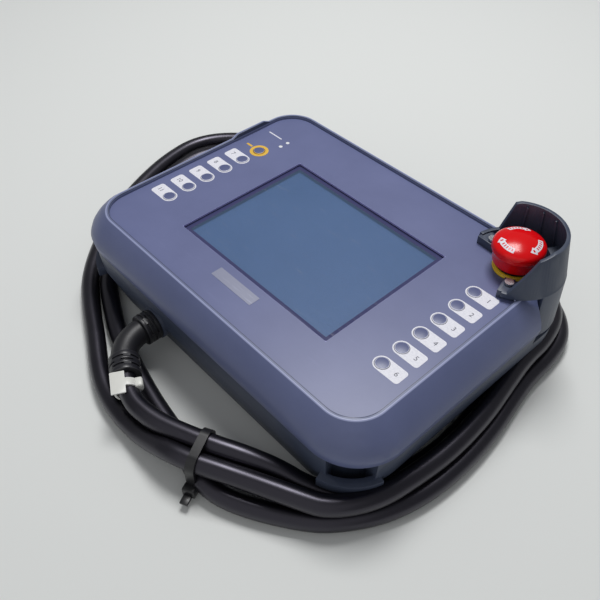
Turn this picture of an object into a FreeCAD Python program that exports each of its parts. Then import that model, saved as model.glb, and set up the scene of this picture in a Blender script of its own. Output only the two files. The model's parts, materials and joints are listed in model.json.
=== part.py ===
"""Handheld operator touch panel: two moulded housings with a display, twelve push keys,
a guarded twist-to-release emergency stop and a tied cable.

Frame: +Z up, +X to the operator's right, +Y to the top of the display. The origin is the centre
of the rear face, on which the panel lies. Millimetres.
"""
import FreeCAD, Part
import Sketcher
import math
import os
import re

Vector = FreeCAD.Vector
Rotation = FreeCAD.Rotation

doc = FreeCAD.newDocument("touch_panel")
sheet = doc.addObject("Spreadsheet::Sheet", "sizes")

SIZES = [
    # Front housing: the rim round the face, the flare below it and the parting plane.
    ("face_side", 50), ("face_end", 35.2), ("rim_radius", 20), ("lip_width", 1.8),
    ("lip_height", 2), ("face_height", 60),
    ("brow_level", 58.5), ("brow_side", 4.4), ("brow_end", 3.6), ("brow_radius", 23.5),
    ("shoulder_level", 54), ("shoulder_side", 8.7), ("shoulder_end", 7.1), ("shoulder_radius", 27.5),
    ("waist_level", 50), ("waist_side", 11.7), ("waist_end", 9.5), ("waist_radius", 30.3),
    ("flare_level", 46), ("flare_side", 13.5), ("flare_end", 11), ("flare_radius", 32),
    ("part_level", 40), ("tuck", 0.9), ("front_wall", 2.8), ("face_plate", 3), ("cavity_ease", 1.5),
    ("cavity_corner", 42), ("bite", 0.5), ("overrun", 1), ("drill_over", 0.8),
    ("rail_start", 24), ("rail_length", 35), ("rail_slope", 6), ("rail_rise", 2.2),
    # Rear housing: base, belt and top outlines.
    ("base_in_side", 24), ("base_in_end", 7.7), ("base_radius", 16),
    ("belt_level", 22), ("belt_in_side", 1.5), ("belt_in_end", 1.2), ("belt_radius", 29),
    ("rear_step_side", 1.5), ("rear_step_end", 1.4), ("rear_top_radius", 31),
    ("rear_wall", 2.8), ("rear_floor", 3), ("corner_web", 52), ("seal_thick", 0.6), ("seal_width", 1.6),
    ("seal_inset", 0.6), ("seal_spread", 3),
    # Strap bars at the two lower corners of the rear housing.
    ("strap_in_side", 20), ("strap_in_end", 19.8), ("strap_notch", 21), ("strap_inner", 28),
    ("strap_outer", 33),
    ("strap_low", 19), ("strap_high", 25), ("notch_angle", 48), ("bar_angle", 60),
    # Window, touch panel, display and its bracket.
    ("window_y", -4.8), ("window_width", 122), ("window_depth", 93.8), ("window_radius", 1),
    ("bezel_skin", 1), ("touch_over", 4), ("touch_thick", 2),
    ("window_seal_thick", 0.5), ("lcd_over_side", 10), ("lcd_over_end", 6.1), ("lcd_thick", 8.2),
    ("bracket_over_side", 11), ("bracket_over_end", 5), ("bracket_thick", 1.2), ("boss_in_side", 5),
    ("boss_in_end", 10), ("boss_radius", 3.2), ("pilot_radius", 1.2), ("fit_gap", 0.3),
    ("seal_lip", 1), ("board_corner", 2), ("small_head", 1.6), ("bracket_screw_reach", 5),
    # Overlay film.
    ("film", 0.3), ("film_gap", 0.4), ("screw_clear", 0.1),
    # Keys, their boards and switches.
    ("key_beside", 28.8), ("key_pitch", 14.5), ("key_radius", 3.9), ("key_clear", 0.2), ("key_proud", 0.5),
    ("key_flange", 5), ("key_flange_thick", 0.9), ("key_travel", 0.5), ("switch_side", 6),
    ("switch_high", 1.1), ("key_board_width", 16), ("key_board_end", 12), ("key_board_thick", 1.6),
    ("key_boss_end", 8.6), ("key_boss_radius", 2.8), ("key_stop_gap", 0.1), ("key_bevel", 0.4),
    ("key_screw_reach", 2),
    # Status lights.
    ("status_in_side", 27), ("status_in_end", 33.5), ("status_pitch", 6.2), ("status_radius", 1.3),
    ("status_flange", 2.2), ("status_flange_thick", 1.5), ("lens_fit", 0.05),
    # Main board.
    ("board_over_side", 4), ("board_in_end", 1), ("board_thick", 1.6), ("standoff_high", 7),
    ("standoff_radius", 2.6), ("standoff_in_side", 7), ("standoff_in_end", 8),
    # Housing screws.
    ("screw_in_side", 19), ("screw_in_end", 16.1), ("screw_side_in", 55), ("screw_side_end", 7.1),
    ("screw_mid_in", 6.1),
    ("tower_radius", 4.6), ("screw_radius", 1.6), ("screw_head_radius", 3), ("screw_head", 2.4),
    ("screw_seat", 24), ("screw_reach", 48),
    # Emergency stop.
    ("estop_in_side", 19), ("estop_in_end", 18.9), ("barrel_radius", 8), ("barrel_low", 41),
    ("barrel_clear", 0.1),
    ("barrel_head", 10), ("barrel_head_thick", 0.8), ("collar_radius", 11.9), ("collar_thick", 2),
    ("collar_bevel", 1), ("nut_fit", 0.05),
    ("gasket_radius", 11), ("gasket_thick", 0.5), ("nut_radius", 11), ("nut_thick", 3.5),
    ("stem_radius", 4.5), ("stem_fit", 0.05), ("stem_low", 43.5), ("stem_shoulder", 6.4),
    ("shoulder_thick", 1.5),
    ("chamber_radius", 6.8), ("chamber_low", 46), ("chamber_high", 58.6), ("spring_radius", 5.65),
    ("spring_wire", 0.4), ("spring_turns", 5), ("spring_steps", 14), ("spring_sides", 6),
    ("estop_travel", 2.5), ("cap_radius", 14.65),
    ("cap_low", 65.8), ("cap_band_low", 73.6), ("cap_band_high", 76.2), ("cap_top", 81.6),
    ("cap_neck", 12.9), ("cap_skirt", 13.7), ("cap_hollow", 9), ("cap_roof", 71), ("stem_socket", 76),
    ("cap_lip", 0.6), ("cap_round", 1.2), ("cap_round_high", 1.5), ("dome_mid_radius", 10.5),
    ("dome_mid_drop", 1.9), ("dome_top_radius", 5.9), ("dome_top_drop", 0.5),
    ("contact_side", 18), ("contact_high", 10),
    # Guard round the emergency stop.
    ("guard_top", 88), ("guard_low", 32), ("guard_top_radius", 23.8), ("guard_mid_radius", 28.8),
    ("guard_low_radius", 29.8), ("guard_wall", 2.1), ("guard_ride", 0.4), ("guard_mid_angle", 51),
    ("guard_sweep", 240), ("skirt_mid_angle", 45), ("skirt_sweep", 134), ("recess_sweep", 142),
    ("recess_radius", 24.7), ("recess_wall", 2.6), ("recess_low", 30.5), ("recess_rest", 4),
    ("near_slope", 19.5), ("near_slope_half", 6.6), ("near_slope_rise", 2.5), ("near_dip", 2.4),
    ("near_dip_run", 7), ("far_slope", 30), ("far_slope_half", 2.2), ("far_slope_rise", 3.6),
    ("far_dip", 1), ("far_dip_run", 3), ("ledge_mid_angle", 46), ("ledge_sweep", 34),
    ("ledge_radius", 18.2), ("ledge_top", 70), ("foot_inner", 15.5), ("foot_high", 5), ("foot_sweep", 21),
    ("foot_reach", 19.5), ("near_foot_angle", -64), ("far_foot_angle", 166),
    ("foot_screw_radius", 1.5), ("foot_head_radius", 2.5), ("foot_head", 1.6), ("foot_screw_reach", 7),
    ("rib_deep", 0.8), ("rib_angle", 2.4), ("rib_short", 2), ("rib_pitch", 24), ("rib_mid_angle", 95),
    # Cable outlet and cable.
    ("exit_x", -41), ("exit_height", 21), ("exit_boss_radius", 10), ("exit_proud", 0.8),
    ("exit_boss_root", 5),
    ("gland_radius", 9.4), ("gland_length", 9), ("gland_groove", 1.2), ("boot_radius", 7.4),
    ("boot_bend", 22), ("boot_turn", 62), ("boot_collar_radius", 8.8), ("boot_collar_length", 13),
    ("exit_lead", 14), ("route_width", 246), ("route_depth", 183.4), ("route_side", 113), ("route_end", 92),
    ("cable_radius", 5.7), ("marker_gap", 0.3), ("marker_thick", 1.2), ("marker_width", 5),
    ("marker_start", 5.5), ("flag_long", 15), ("flag_wide", 8), ("flag_thick", 1), ("tie_gap", 0.75),
    ("tie_thick", 1.3), ("tie_width", 5),
    ("tie_head_deep", 4.8), ("tie_head_high", 6), ("tie_head_low", 2), ("tie_head_over", 1),
    ("plug_radius", 11), ("plug_length", 46), ("plug_ring_radius", 13), ("plug_ring_length", 18),
    ("plug_tail", 2.5), ("plug_shoulder", 11.5), ("plug_lip", 2), ("plug_step", 1),
]
for row, (name, number) in enumerate(SIZES, 1):
    sheet.set("A%d" % row, name)
    sheet.set("B%d" % row, str(number))
    sheet.setAlias("B%d" % row, name)
doc.recompute()
NAMES = {name for name, number in SIZES}
# Sizes that follow from others: the face grows from the window, the rest from the face.
FOLLOWING = {
    "rim_width": "window_width + 2 * face_side",
    "rim_depth": "window_depth + 2 * face_end",
    "rear_top_width": "rim_width + 2 * flare_side - 2 * rear_step_side",
    "rear_top_depth": "rim_depth + 2 * flare_end - 2 * rear_step_end",
    "belt_width": "rear_top_width - 2 * belt_in_side",
    "belt_depth": "rear_top_depth - 2 * belt_in_end",
    "base_width": "rear_top_width - 2 * base_in_side",
    "base_depth": "rear_top_depth - 2 * base_in_end",
    "exit_boss_face": "rear_top_depth / 2 + exit_proud",
    "touch_width": "window_width + 2 * touch_over",
    "touch_depth": "window_depth + 2 * touch_over",
    "lcd_width": "window_width + 2 * lcd_over_side",
    "lcd_depth": "window_depth + 2 * lcd_over_end",
    "bracket_width": "lcd_width + 2 * bracket_over_side",
    "bracket_depth": "lcd_depth + 2 * bracket_over_end",
    "bracket_boss_x": "bracket_width / 2 - boss_in_side",
    "bracket_boss_y": "bracket_depth / 2 - boss_in_end",
    "board_width": "lcd_width + 2 * board_over_side",
    "board_depth": "lcd_depth - 2 * board_in_end",
    "standoff_x": "board_width / 2 - standoff_in_side",
    "standoff_y": "board_depth / 2 - standoff_in_end",
    "key_x": "window_width / 2 + key_beside",
    "status_x": "rim_width / 2 - status_in_side",
    "status_y": "rim_depth / 2 - status_in_end",
    "screw_x": "rim_width / 2 - screw_in_side",
    "screw_y": "rim_depth / 2 - screw_in_end",
    "screw_side_x": "rim_width / 2 - screw_side_in",
    "screw_side_y": "rim_depth / 2 - screw_side_end",
    "screw_mid": "rim_depth / 2 - screw_mid_in",
    "strap_x": "rim_width / 2 - strap_in_side",
    "strap_y": "rim_depth / 2 - strap_in_end",
    "estop_x": "rim_width / 2 - estop_in_side",
    "estop_y": "rim_depth / 2 - estop_in_end",
}


def expr(text):
    """A size formula as the document reads it, with every size looked up in the sheet."""
    def looked_up(word):
        if word[0] in FOLLOWING:
            return "(%s)" % expr(FOLLOWING[word[0]])
        return ("sizes." if word[0] in NAMES else "") + word[0]
    return re.sub(r"[a-z_]+", looked_up, text)


def value(text):
    """The present value of a size formula."""
    return float(sheet.evalExpression(expr(text)))


PLATE_TOP = "(face_height - film)"
PLATE_UNDER = "(face_height - film - face_plate)"
REAR_TOP = "(part_level - seal_thick)"
BRACKET_TOP = "(face_height - film - bezel_skin - window_seal_thick - touch_thick - lcd_thick)"
BRACKET_UNDER = "(%s - bracket_thick)" % BRACKET_TOP
BOARD_TOP = "(%s - standoff_high)" % BRACKET_UNDER
KEY_LOW = "(%s - fit_gap - key_flange_thick)" % PLATE_UNDER
KEY_BOARD_TOP = "(%s - key_travel - key_stop_gap - switch_high)" % KEY_LOW
COLLAR_LOW = "(%s + gasket_thick)" % PLATE_TOP
BARREL_TOP = "(%s + collar_thick + barrel_head_thick)" % COLLAR_LOW
FOOT_SCREW_LOW = "(face_height + foot_high - foot_screw_reach)"


def new_body(label, x="0", y="0", z="0", turn=None):
    """A body named for its piece, placed by size formulas and optionally turned."""
    body = doc.addObject("PartDesign::Body", label)
    body.Label = label
    if turn:
        body.Placement = FreeCAD.Placement(Vector(), turn)
    at(body, x, y, z)
    return body


def at(item, x, y, z):
    """Bind the place of an object to size formulas."""
    for axis, text in zip("xyz", (x, y, z)):
        item.setExpression("Placement.Base." + axis, expr(text))


def sketch(body, plane="XY_Plane", x="0", y="0", height="0", swing=None):
    """A sketch on one of the body's own planes, shifted in it and raised along its normal."""
    sk = body.newObject("Sketcher::SketchObject", body.Label + "_sketch")
    sk.AttachmentSupport = [([f for f in body.Origin.OriginFeatures if f.Role == plane][0], "")]
    sk.MapMode = "FlatFace"
    if swing is not None:
        sk.AttachmentOffset = FreeCAD.Placement(Vector(), Rotation(Vector(0, 1, 0), value(swing)))
        sk.setExpression("AttachmentOffset.Rotation.Angle", expr(swing))
    for axis, text in zip("xyz", (x, y, height)):
        sk.setExpression("AttachmentOffset.Base." + axis, expr(text))
    return sk


def constrain(sk, constraint, text):
    """Add a dimension to a sketch and bind it to a size formula."""
    sk.setExpression("Constraints[%d]" % sk.addConstraint(constraint), expr(text))


def place(sk, index, point, x, y):
    """Fix one point of a sketch at a position given by two size formulas."""
    for kind, text, axis in (("DistanceX", x, -2), ("DistanceY", y, -1)):
        size = value(text)
        if abs(size) < 1e-9:
            sk.addConstraint(Sketcher.Constraint("PointOnObject", index, point, axis))
        elif size > 0:
            constrain(sk, Sketcher.Constraint(kind, -1, 1, index, point, size), text)
        else:
            constrain(sk, Sketcher.Constraint(kind, index, point, -1, 1, -size), "-(%s)" % text)


def circle(sk, radius, x="0", y="0"):
    """A circle at a position in the sketch."""
    round_line = Part.Circle(Vector(value(x), value(y), 0), Vector(0, 0, 1), value(radius))
    index = sk.addGeometry(round_line)
    constrain(sk, Sketcher.Constraint("Radius", index, value(radius)), radius)
    place(sk, index, 3, x, y)


def rounded(sk, width, depth, radius):
    """A rectangle with round corners, centred on the sketch."""
    w, d, r = value(width) / 2, value(depth) / 2, value(radius)
    first = sk.GeometryCount
    sides = [(-w + r, -d, w - r, -d), (w, -d + r, w, d - r), (w - r, d, -w + r, d), (-w, d - r, -w, -d + r)]
    for x1, y1, x2, y2 in sides:
        sk.addGeometry(Part.LineSegment(Vector(x1, y1, 0), Vector(x2, y2, 0)))
    corners = [(w - r, r - d), (w - r, d - r), (r - w, d - r), (r - w, r - d)]
    for turn, (x, y) in enumerate(corners):
        bend = Part.Circle(Vector(x, y, 0), Vector(0, 0, 1), r)
        start = math.radians(90 * turn - 90)
        sk.addGeometry(Part.ArcOfCircle(bend, start, start + math.pi / 2))
    for i in range(4):
        sk.addConstraint(Sketcher.Constraint("Tangent", first + i, 2, first + 4 + i, 1))
        sk.addConstraint(Sketcher.Constraint("Tangent", first + 4 + i, 2, first + (i + 1) % 4, 1))
        sk.addConstraint(Sketcher.Constraint(("Horizontal", "Vertical")[i % 2], first + i))
    for i in range(3):
        sk.addConstraint(Sketcher.Constraint("Equal", first + 4 + i, first + 5 + i))
    sk.addConstraint(Sketcher.Constraint("Symmetric", first + 4, 3, first + 6, 3, -1, 1))
    constrain(sk, Sketcher.Constraint("Radius", first + 4, r), radius)
    constrain(sk, Sketcher.Constraint("DistanceX", first + 3, 1, first + 1, 1, 2 * w), width)
    constrain(sk, Sketcher.Constraint("DistanceY", first, 1, first + 2, 1, 2 * d), depth)


def profile(sk, points):
    """A closed outline of straight sides through points given by size formulas."""
    spots = [Vector(value(x), value(y), 0) for x, y in points]
    count = len(points)
    for i in range(count):
        sk.addGeometry(Part.LineSegment(spots[i], spots[(i + 1) % count]))
    for i, (x, y) in enumerate(points):
        sk.addConstraint(Sketcher.Constraint("Coincident", i, 2, (i + 1) % count, 1))
        place(sk, i, 1, x, y)


def feature(body, kind, sk, **settings):
    """A feature of the body made from one sketch; a length or angle is a size formula."""
    made = body.newObject("PartDesign::" + kind, body.Label + "_" + kind.lower())
    made.Profile = sk
    for name, setting in settings.items():
        if name in ("Length", "Angle"):
            made.setExpression(name, expr(setting))
        else:
            setattr(made, name, setting)
    body.Tip = made
    doc.recompute()
    return made


def revolve(body, kind, sk, **settings):
    """A revolved feature about the sketch's own upright axis."""
    return feature(body, kind, sk, ReferenceAxis=(sk, ["V_Axis"]), **settings)


def loft(body, kind, sections):
    """A loft of straight bands through rounded outlines given as (level, width, depth, radius)."""
    outlines = []
    for level, width, depth, radius in sections:
        sk = sketch(body, height=level)
        rounded(sk, width, depth, radius)
        outlines.append(sk)
    doc.recompute()
    return feature(body, kind, outlines[0], Sections=outlines[1:], Ruled=True)


def holes(body, height, length, spots, up=False):
    """A pocket of round holes given as (radius, x, y), cut down from a level, or up."""
    sk = sketch(body, height=height)
    for radius, x, y in spots:
        circle(sk, radius, x, y)
    return feature(body, "Pocket", sk, Length=length, Reversed=up)


def posts(body, height, length, spots, down=False):
    """Round posts given as (radius, x, y), raised from a level, or hanging from it."""
    sk = sketch(body, height=height)
    for radius, x, y in spots:
        circle(sk, radius, x, y)
    return feature(body, "Pad", sk, Length=length, Reversed=down)


def plate(label, level, width, depth, radius, thick, y="0", x="0"):
    """A flat plate with round corners, standing on a level."""
    body = new_body(label)
    sk = sketch(body, x=x, y=y, height=level)
    rounded(sk, width, depth, radius)
    feature(body, "Pad", sk, Length=thick)
    return body


def turned(label, points, x="0", y="0", z="0", turn=None):
    """A turned piece: a closed (radius, height) outline spun about the piece's own axis."""
    body = new_body(label, x, y, z, turn)
    sk = sketch(body, "XZ_Plane")
    profile(sk, points)
    revolve(body, "Revolution", sk, Angle="360")
    return body


def group(label, solids):
    """Several like solids as one node."""
    node = doc.addObject("Part::Compound", label)
    node.Label = label
    node.Links = solids
    return node


def stepped_pin(name, steps, x, y):
    """A pin of stacked cylinders given as (radius, low, high), one solid."""
    rods = []
    for i, (radius, low, high) in enumerate(steps):
        rod = doc.addObject("Part::Cylinder", "%s_%d" % (name, i))
        rod.setExpression("Radius", expr(radius))
        rod.setExpression("Height", expr("(%s) - (%s)" % (high, low)))
        at(rod, x, y, low)
        rods.append(rod)
    if len(rods) == 1:
        return rods[0]
    pin = doc.addObject("Part::MultiFuse", name)
    pin.Shapes = rods
    return pin


nodes = []

KEY_ROWS = ["window_y + %s * key_pitch" % step for step in (2.5, 1.5, 0.5, -0.5, -1.5, -2.5)]
BRACKET_SPOTS = [
    (sx + "bracket_boss_x", "window_y " + sy + " bracket_boss_y") for sx in ("", "-") for sy in "+-"]
KEY_BOARD_SPOTS = [
    (sx + "key_x", "window_y %s (2.5 * key_pitch + key_boss_end)" % sy) for sx in ("", "-") for sy in "+-"]
SCREW_SPOTS = [
    ("screw_x", "-screw_y"), ("-screw_x", "-screw_y"), ("-screw_x", "screw_y"),
    ("screw_side_x", "screw_side_y"), ("0", "-screw_mid")]
STATUS_SPOTS = [("-status_x", "status_y + status_pitch / 2"), ("-status_x", "status_y - status_pitch / 2")]
FOOT_SPOTS = [
    ("estop_x + foot_reach * cos(%s)" % angle, "estop_y + foot_reach * sin(%s)" % angle)
    for angle in ("near_foot_angle", "far_foot_angle")]

# Front housing: a flared shell in narrow bands under a plate, with a lip round the face.
front = new_body("front_housing")
bands = [
    (band + "_level", "rim_width + 2 * %s_side" % band, "rim_depth + 2 * %s_end" % band, band + "_radius")
    for band in ("flare", "waist", "shoulder", "brow")]
loft(front, "AdditiveLoft", [
    ("part_level", "rim_width + 2 * (flare_side - tuck)", "rim_depth + 2 * (flare_end - tuck)",
     "flare_radius - tuck"),
    *bands, ("face_height + lip_height", "rim_width", "rim_depth", "rim_radius")])
loft(front, "SubtractiveLoft", [
    ("part_level", "rim_width + 2 * (flare_side - tuck - front_wall)",
     "rim_depth + 2 * (flare_end - tuck - front_wall)", "corner_web"),
    ("flare_level", "rim_width + 2 * (flare_side - front_wall)",
     "rim_depth + 2 * (flare_end - front_wall)", "corner_web"),
    (PLATE_UNDER, "rim_width + 2 * cavity_ease", "rim_depth + 2 * cavity_ease", "cavity_corner"),
])
recess = sketch(front, height="face_height + lip_height")
rounded(recess, "rim_width - 2 * lip_width", "rim_depth - 2 * lip_width", "rim_radius - lip_width")
feature(front, "Pocket", recess, Length="lip_height + film")
# Raised finger rail on the left lip, beside the operate key.
rail = sketch(front, "YZ_Plane", height="-rim_width / 2")
RAIL_FOOT = "face_height + lip_height - bite"
RAIL_TOP = "face_height + lip_height + rail_rise"
profile(rail, [
    ("rail_start", RAIL_FOOT), ("rail_start + rail_length", RAIL_FOOT),
    ("rail_start + rail_length - rail_slope", RAIL_TOP), ("rail_start + rail_slope", RAIL_TOP)])
feature(front, "Pad", rail, Length="lip_width")
# Window opening with a rebate under it for the touch panel.
window = sketch(front, y="window_y", height=PLATE_TOP)
rounded(window, "window_width", "window_depth", "window_radius")
feature(front, "Pocket", window, Length="face_plate")
rebate = sketch(front, y="window_y", height=PLATE_UNDER)
rounded(rebate, "touch_width + 2 * fit_gap", "touch_depth + 2 * fit_gap", "window_radius")
feature(front, "Pocket", rebate, Length="face_plate - bezel_skin", Reversed=True)
# Bores for the keys, one row of two repeated up the face.
key_bores = holes(front, PLATE_TOP, "face_plate", [
    ("key_radius + key_clear", "key_x", KEY_ROWS[5]), ("key_radius + key_clear", "-key_x", KEY_ROWS[5])])
key_rows = front.newObject("PartDesign::LinearPattern", "key_bore_rows")
key_rows.Originals = [key_bores]
key_rows.Direction = (key_bores.Profile[0], ["V_Axis"])
key_rows.setExpression("Length", expr("5 * key_pitch"))
key_rows.Occurrences = 6
front.Tip = key_rows
holes(front, PLATE_TOP, "face_plate", [("barrel_radius + barrel_clear", "estop_x", "estop_y")]
      + [("status_radius + lens_fit", x, y) for x, y in STATUS_SPOTS])
# Seat for the guard: the flared corner is set back to an upright wall.
seat_wall = sketch(front, "XZ_Plane", x="estop_x", height="-estop_y", swing="skirt_mid_angle")
profile(seat_wall, [
    ("recess_radius - recess_wall", "part_level"), ("recess_radius + bite", "part_level"),
    ("recess_radius + bite", PLATE_UNDER + " + bite"),
    ("recess_radius - recess_wall", PLATE_UNDER + " + bite")])
revolve(front, "Revolution", seat_wall, Angle="recess_sweep", Midplane=True)
seat_cut = sketch(front, "XZ_Plane", x="estop_x", height="-estop_y", swing="skirt_mid_angle")
profile(seat_cut, [
    ("recess_radius", "part_level - overrun"), ("3 * recess_radius", "part_level - overrun"),
    ("3 * recess_radius", "face_height + lip_height"), ("recess_radius", "face_height + lip_height")])
revolve(front, "Groove", seat_cut, Angle="recess_sweep - recess_rest", Midplane=True)
# Bosses for the bracket, the key boards and the housing screws.
posts(front, PLATE_UNDER, "%s - %s" % (PLATE_UNDER, BRACKET_TOP),
      [("boss_radius", x, y) for x, y in BRACKET_SPOTS], down=True)
posts(front, PLATE_UNDER, "%s - %s" % (PLATE_UNDER, KEY_BOARD_TOP),
      [("key_boss_radius", x, y) for x, y in KEY_BOARD_SPOTS], down=True)
posts(front, PLATE_UNDER, "%s - part_level" % PLATE_UNDER,
      [("tower_radius", x, y) for x, y in SCREW_SPOTS], down=True)
holes(front, BRACKET_TOP, "bracket_screw_reach + drill_over",
      [("pilot_radius", x, y) for x, y in BRACKET_SPOTS], up=True)
holes(front, KEY_BOARD_TOP, "key_screw_reach + drill_over",
      [("pilot_radius", x, y) for x, y in KEY_BOARD_SPOTS], up=True)
holes(front, "part_level", "screw_reach - part_level + drill_over",
      [("screw_radius", x, y) for x, y in SCREW_SPOTS], up=True)
holes(front, PLATE_TOP, "%s - %s + drill_over" % (PLATE_TOP, FOOT_SCREW_LOW),
      [("foot_screw_radius", x, y) for x, y in FOOT_SPOTS])
nodes.append(front)

# Rear housing: a tub with bevelled sides, thick corners and a strap bar at each lower corner.
rear = new_body("rear_housing")
loft(rear, "AdditiveLoft", [
    ("0", "base_width", "base_depth", "base_radius"),
    ("belt_level", "belt_width", "belt_depth", "belt_radius"),
    (REAR_TOP, "rear_top_width", "rear_top_depth", "rear_top_radius"),
])
loft(rear, "SubtractiveLoft", [
    ("rear_floor", "base_width - rear_wall", "base_depth - 2 * rear_wall", "base_radius"),
    ("belt_level", "belt_width - 2 * rear_wall", "belt_depth - 2 * rear_wall", "corner_web"),
    (REAR_TOP, "rear_top_width - 2 * rear_wall", "rear_top_depth - 2 * rear_wall", "corner_web"),
])
for side, swing in (("strap_x", "-45"), ("-strap_x", "-135")):
    notch = sketch(rear, "XZ_Plane", x=side, height="strap_y", swing=swing)
    profile(notch, [
        ("strap_notch", "-overrun"), ("2 * strap_outer", "-overrun"),
        ("2 * strap_outer", REAR_TOP + " + overrun"), ("strap_notch", REAR_TOP + " + overrun")])
    revolve(rear, "Groove", notch, Angle="notch_angle", Midplane=True)
    bar = sketch(rear, "XZ_Plane", x=side, height="strap_y", swing=swing)
    profile(bar, [
        ("strap_inner", "strap_low"), ("strap_outer", "strap_low"),
        ("strap_outer", "strap_high"), ("strap_inner", "strap_high")])
    revolve(rear, "Revolution", bar, Angle="bar_angle", Midplane=True)
rear_seat_wall = sketch(rear, "XZ_Plane", x="estop_x", height="-estop_y", swing="skirt_mid_angle")
profile(rear_seat_wall, [
    ("recess_radius - recess_wall", "recess_low - recess_wall"),
    ("recess_radius + recess_wall", "recess_low - recess_wall"),
    ("recess_radius + recess_wall", REAR_TOP), ("recess_radius - recess_wall", REAR_TOP)])
revolve(rear, "Revolution", rear_seat_wall, Angle="recess_sweep", Midplane=True)
rear_cut = sketch(rear, "XZ_Plane", x="estop_x", height="-estop_y", swing="skirt_mid_angle")
profile(rear_cut, [
    ("recess_radius", "recess_low"), ("3 * recess_radius", "recess_low"),
    ("3 * recess_radius", REAR_TOP + " + overrun"), ("recess_radius", REAR_TOP + " + overrun")])
revolve(rear, "Groove", rear_cut, Angle="recess_sweep - recess_rest", Midplane=True)
posts(rear, "rear_floor - bite", "%s - rear_floor + bite" % REAR_TOP,
      [("tower_radius", x, y) for x, y in SCREW_SPOTS])
holes(rear, "0", "screw_seat", [("screw_head_radius + fit_gap", x, y) for x, y in SCREW_SPOTS], up=True)
holes(rear, "0", REAR_TOP, [("screw_radius + fit_gap", x, y) for x, y in SCREW_SPOTS], up=True)
outlet = sketch(rear, "XZ_Plane", x="exit_x", y="exit_height", height="belt_depth / 2 - exit_boss_root")
circle(outlet, "exit_boss_radius")
feature(rear, "Pad", outlet, Length="exit_boss_face - belt_depth / 2 + exit_boss_root")
nodes.append(rear)

# Seal lying on the rear housing's edge, round the inside of both notches and of the guard's seat.
SEATS = [
    ("strap_x", "strap_y", "strap_notch", "-45", "notch_angle"),
    ("-strap_x", "strap_y", "strap_notch", "-135", "notch_angle"),
    ("estop_x", "-estop_y", "recess_radius", "skirt_mid_angle", "recess_sweep - recess_rest")]


def seal_outline(label, inset, spread):
    """A sheet inside the rear housing's outline, set in from its edge and from the three seats."""
    body = new_body(label)
    edge = sketch(body, height=REAR_TOP)
    rounded(
        edge, "rear_top_width - 2 * " + inset, "rear_top_depth - 2 * " + inset, "rear_top_radius - " + inset)
    feature(body, "Pad", edge, Length="seal_thick")
    for x, height, radius, swing, sweep in SEATS:
        cut = sketch(body, "XZ_Plane", x=x, height=height, swing=swing)
        profile(cut, [
            (radius + " - " + inset, REAR_TOP + " - overrun"), ("3 * " + radius, REAR_TOP + " - overrun"),
            ("3 * " + radius, "part_level + overrun"), (radius + " - " + inset, "part_level + overrun")])
        revolve(body, "Groove", cut, Angle="%s + %s" % (sweep, spread), Midplane=True)
    return body


seal = doc.addObject("Part::Cut", "housing_seal")
seal.Label = "housing_seal"
seal.Base = seal_outline("seal_edge", "seal_inset", "seal_spread")
seal.Tool = seal_outline("seal_opening", "(seal_inset + seal_width)", "2 * seal_spread")
nodes.append(seal)

# Screws from the back, up through the rear towers into the front housing.
nodes.append(group("housing_screws", [
    stepped_pin("housing_screw_%d" % i, [
        ("screw_head_radius", "screw_seat - screw_head", "screw_seat"),
        ("screw_radius", "screw_seat - bite", "screw_reach")], x, y)
    for i, (x, y) in enumerate(SCREW_SPOTS)]))

# Printed film in the recess of the face.
overlay = plate("face_overlay", PLATE_TOP, "rim_width - 2 * lip_width - 2 * film_gap",
                "rim_depth - 2 * lip_width - 2 * film_gap", "rim_radius - lip_width - film_gap", "film")
film_window = sketch(overlay, y="window_y", height="face_height")
rounded(film_window, "window_width", "window_depth", "window_radius")
feature(overlay, "Pocket", film_window, Length="film")
film_bores = holes(overlay, "face_height", "film", [
    ("key_radius + key_clear", "key_x", KEY_ROWS[5]), ("key_radius + key_clear", "-key_x", KEY_ROWS[5])])
film_rows = overlay.newObject("PartDesign::LinearPattern", "film_bore_rows")
film_rows.Originals = [film_bores]
film_rows.Direction = (film_bores.Profile[0], ["V_Axis"])
film_rows.setExpression("Length", expr("5 * key_pitch"))
film_rows.Occurrences = 6
overlay.Tip = film_rows
holes(overlay, "face_height", "film", [("gasket_radius + fit_gap", "estop_x", "estop_y")]
      + [("status_radius + lens_fit", x, y) for x, y in STATUS_SPOTS]
      + [("foot_screw_radius + screw_clear", x, y) for x, y in FOOT_SPOTS])
nodes.append(overlay)

# Window seal, touch panel, display and the bracket that holds them up.
SEAL_LOW = "(%s - bezel_skin - window_seal_thick)" % PLATE_TOP
TOUCH_LOW = "(%s - touch_thick)" % SEAL_LOW
window_seal = plate("window_seal", SEAL_LOW, "touch_width", "touch_depth", "window_radius",
                    "window_seal_thick", "window_y")
seal_window = sketch(window_seal, y="window_y", height=SEAL_LOW + " + window_seal_thick")
rounded(seal_window, "window_width + 2 * seal_lip", "window_depth + 2 * seal_lip", "window_radius")
feature(window_seal, "Pocket", seal_window, Length="window_seal_thick")
nodes.append(window_seal)
nodes.append(plate("touch_panel", TOUCH_LOW, "touch_width", "touch_depth", "window_radius",
                   "touch_thick", "window_y"))
nodes.append(plate("lcd_module", BRACKET_TOP, "lcd_width", "lcd_depth", "window_radius",
                   "lcd_thick", "window_y"))
bracket = plate("lcd_bracket", BRACKET_UNDER, "bracket_width", "bracket_depth", "board_corner",
                "bracket_thick", "window_y")
holes(bracket, BRACKET_TOP, "bracket_thick", [("pilot_radius + fit_gap", x, y) for x, y in BRACKET_SPOTS])
nodes.append(bracket)
nodes.append(group("bracket_screws", [
    stepped_pin("bracket_screw_%d" % i, [
        ("2 * pilot_radius", BRACKET_UNDER + " - small_head", BRACKET_UNDER),
        ("pilot_radius", BRACKET_UNDER + " - bite", BRACKET_TOP + " + bracket_screw_reach")], x, y)
    for i, (x, y) in enumerate(BRACKET_SPOTS)]))

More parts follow.
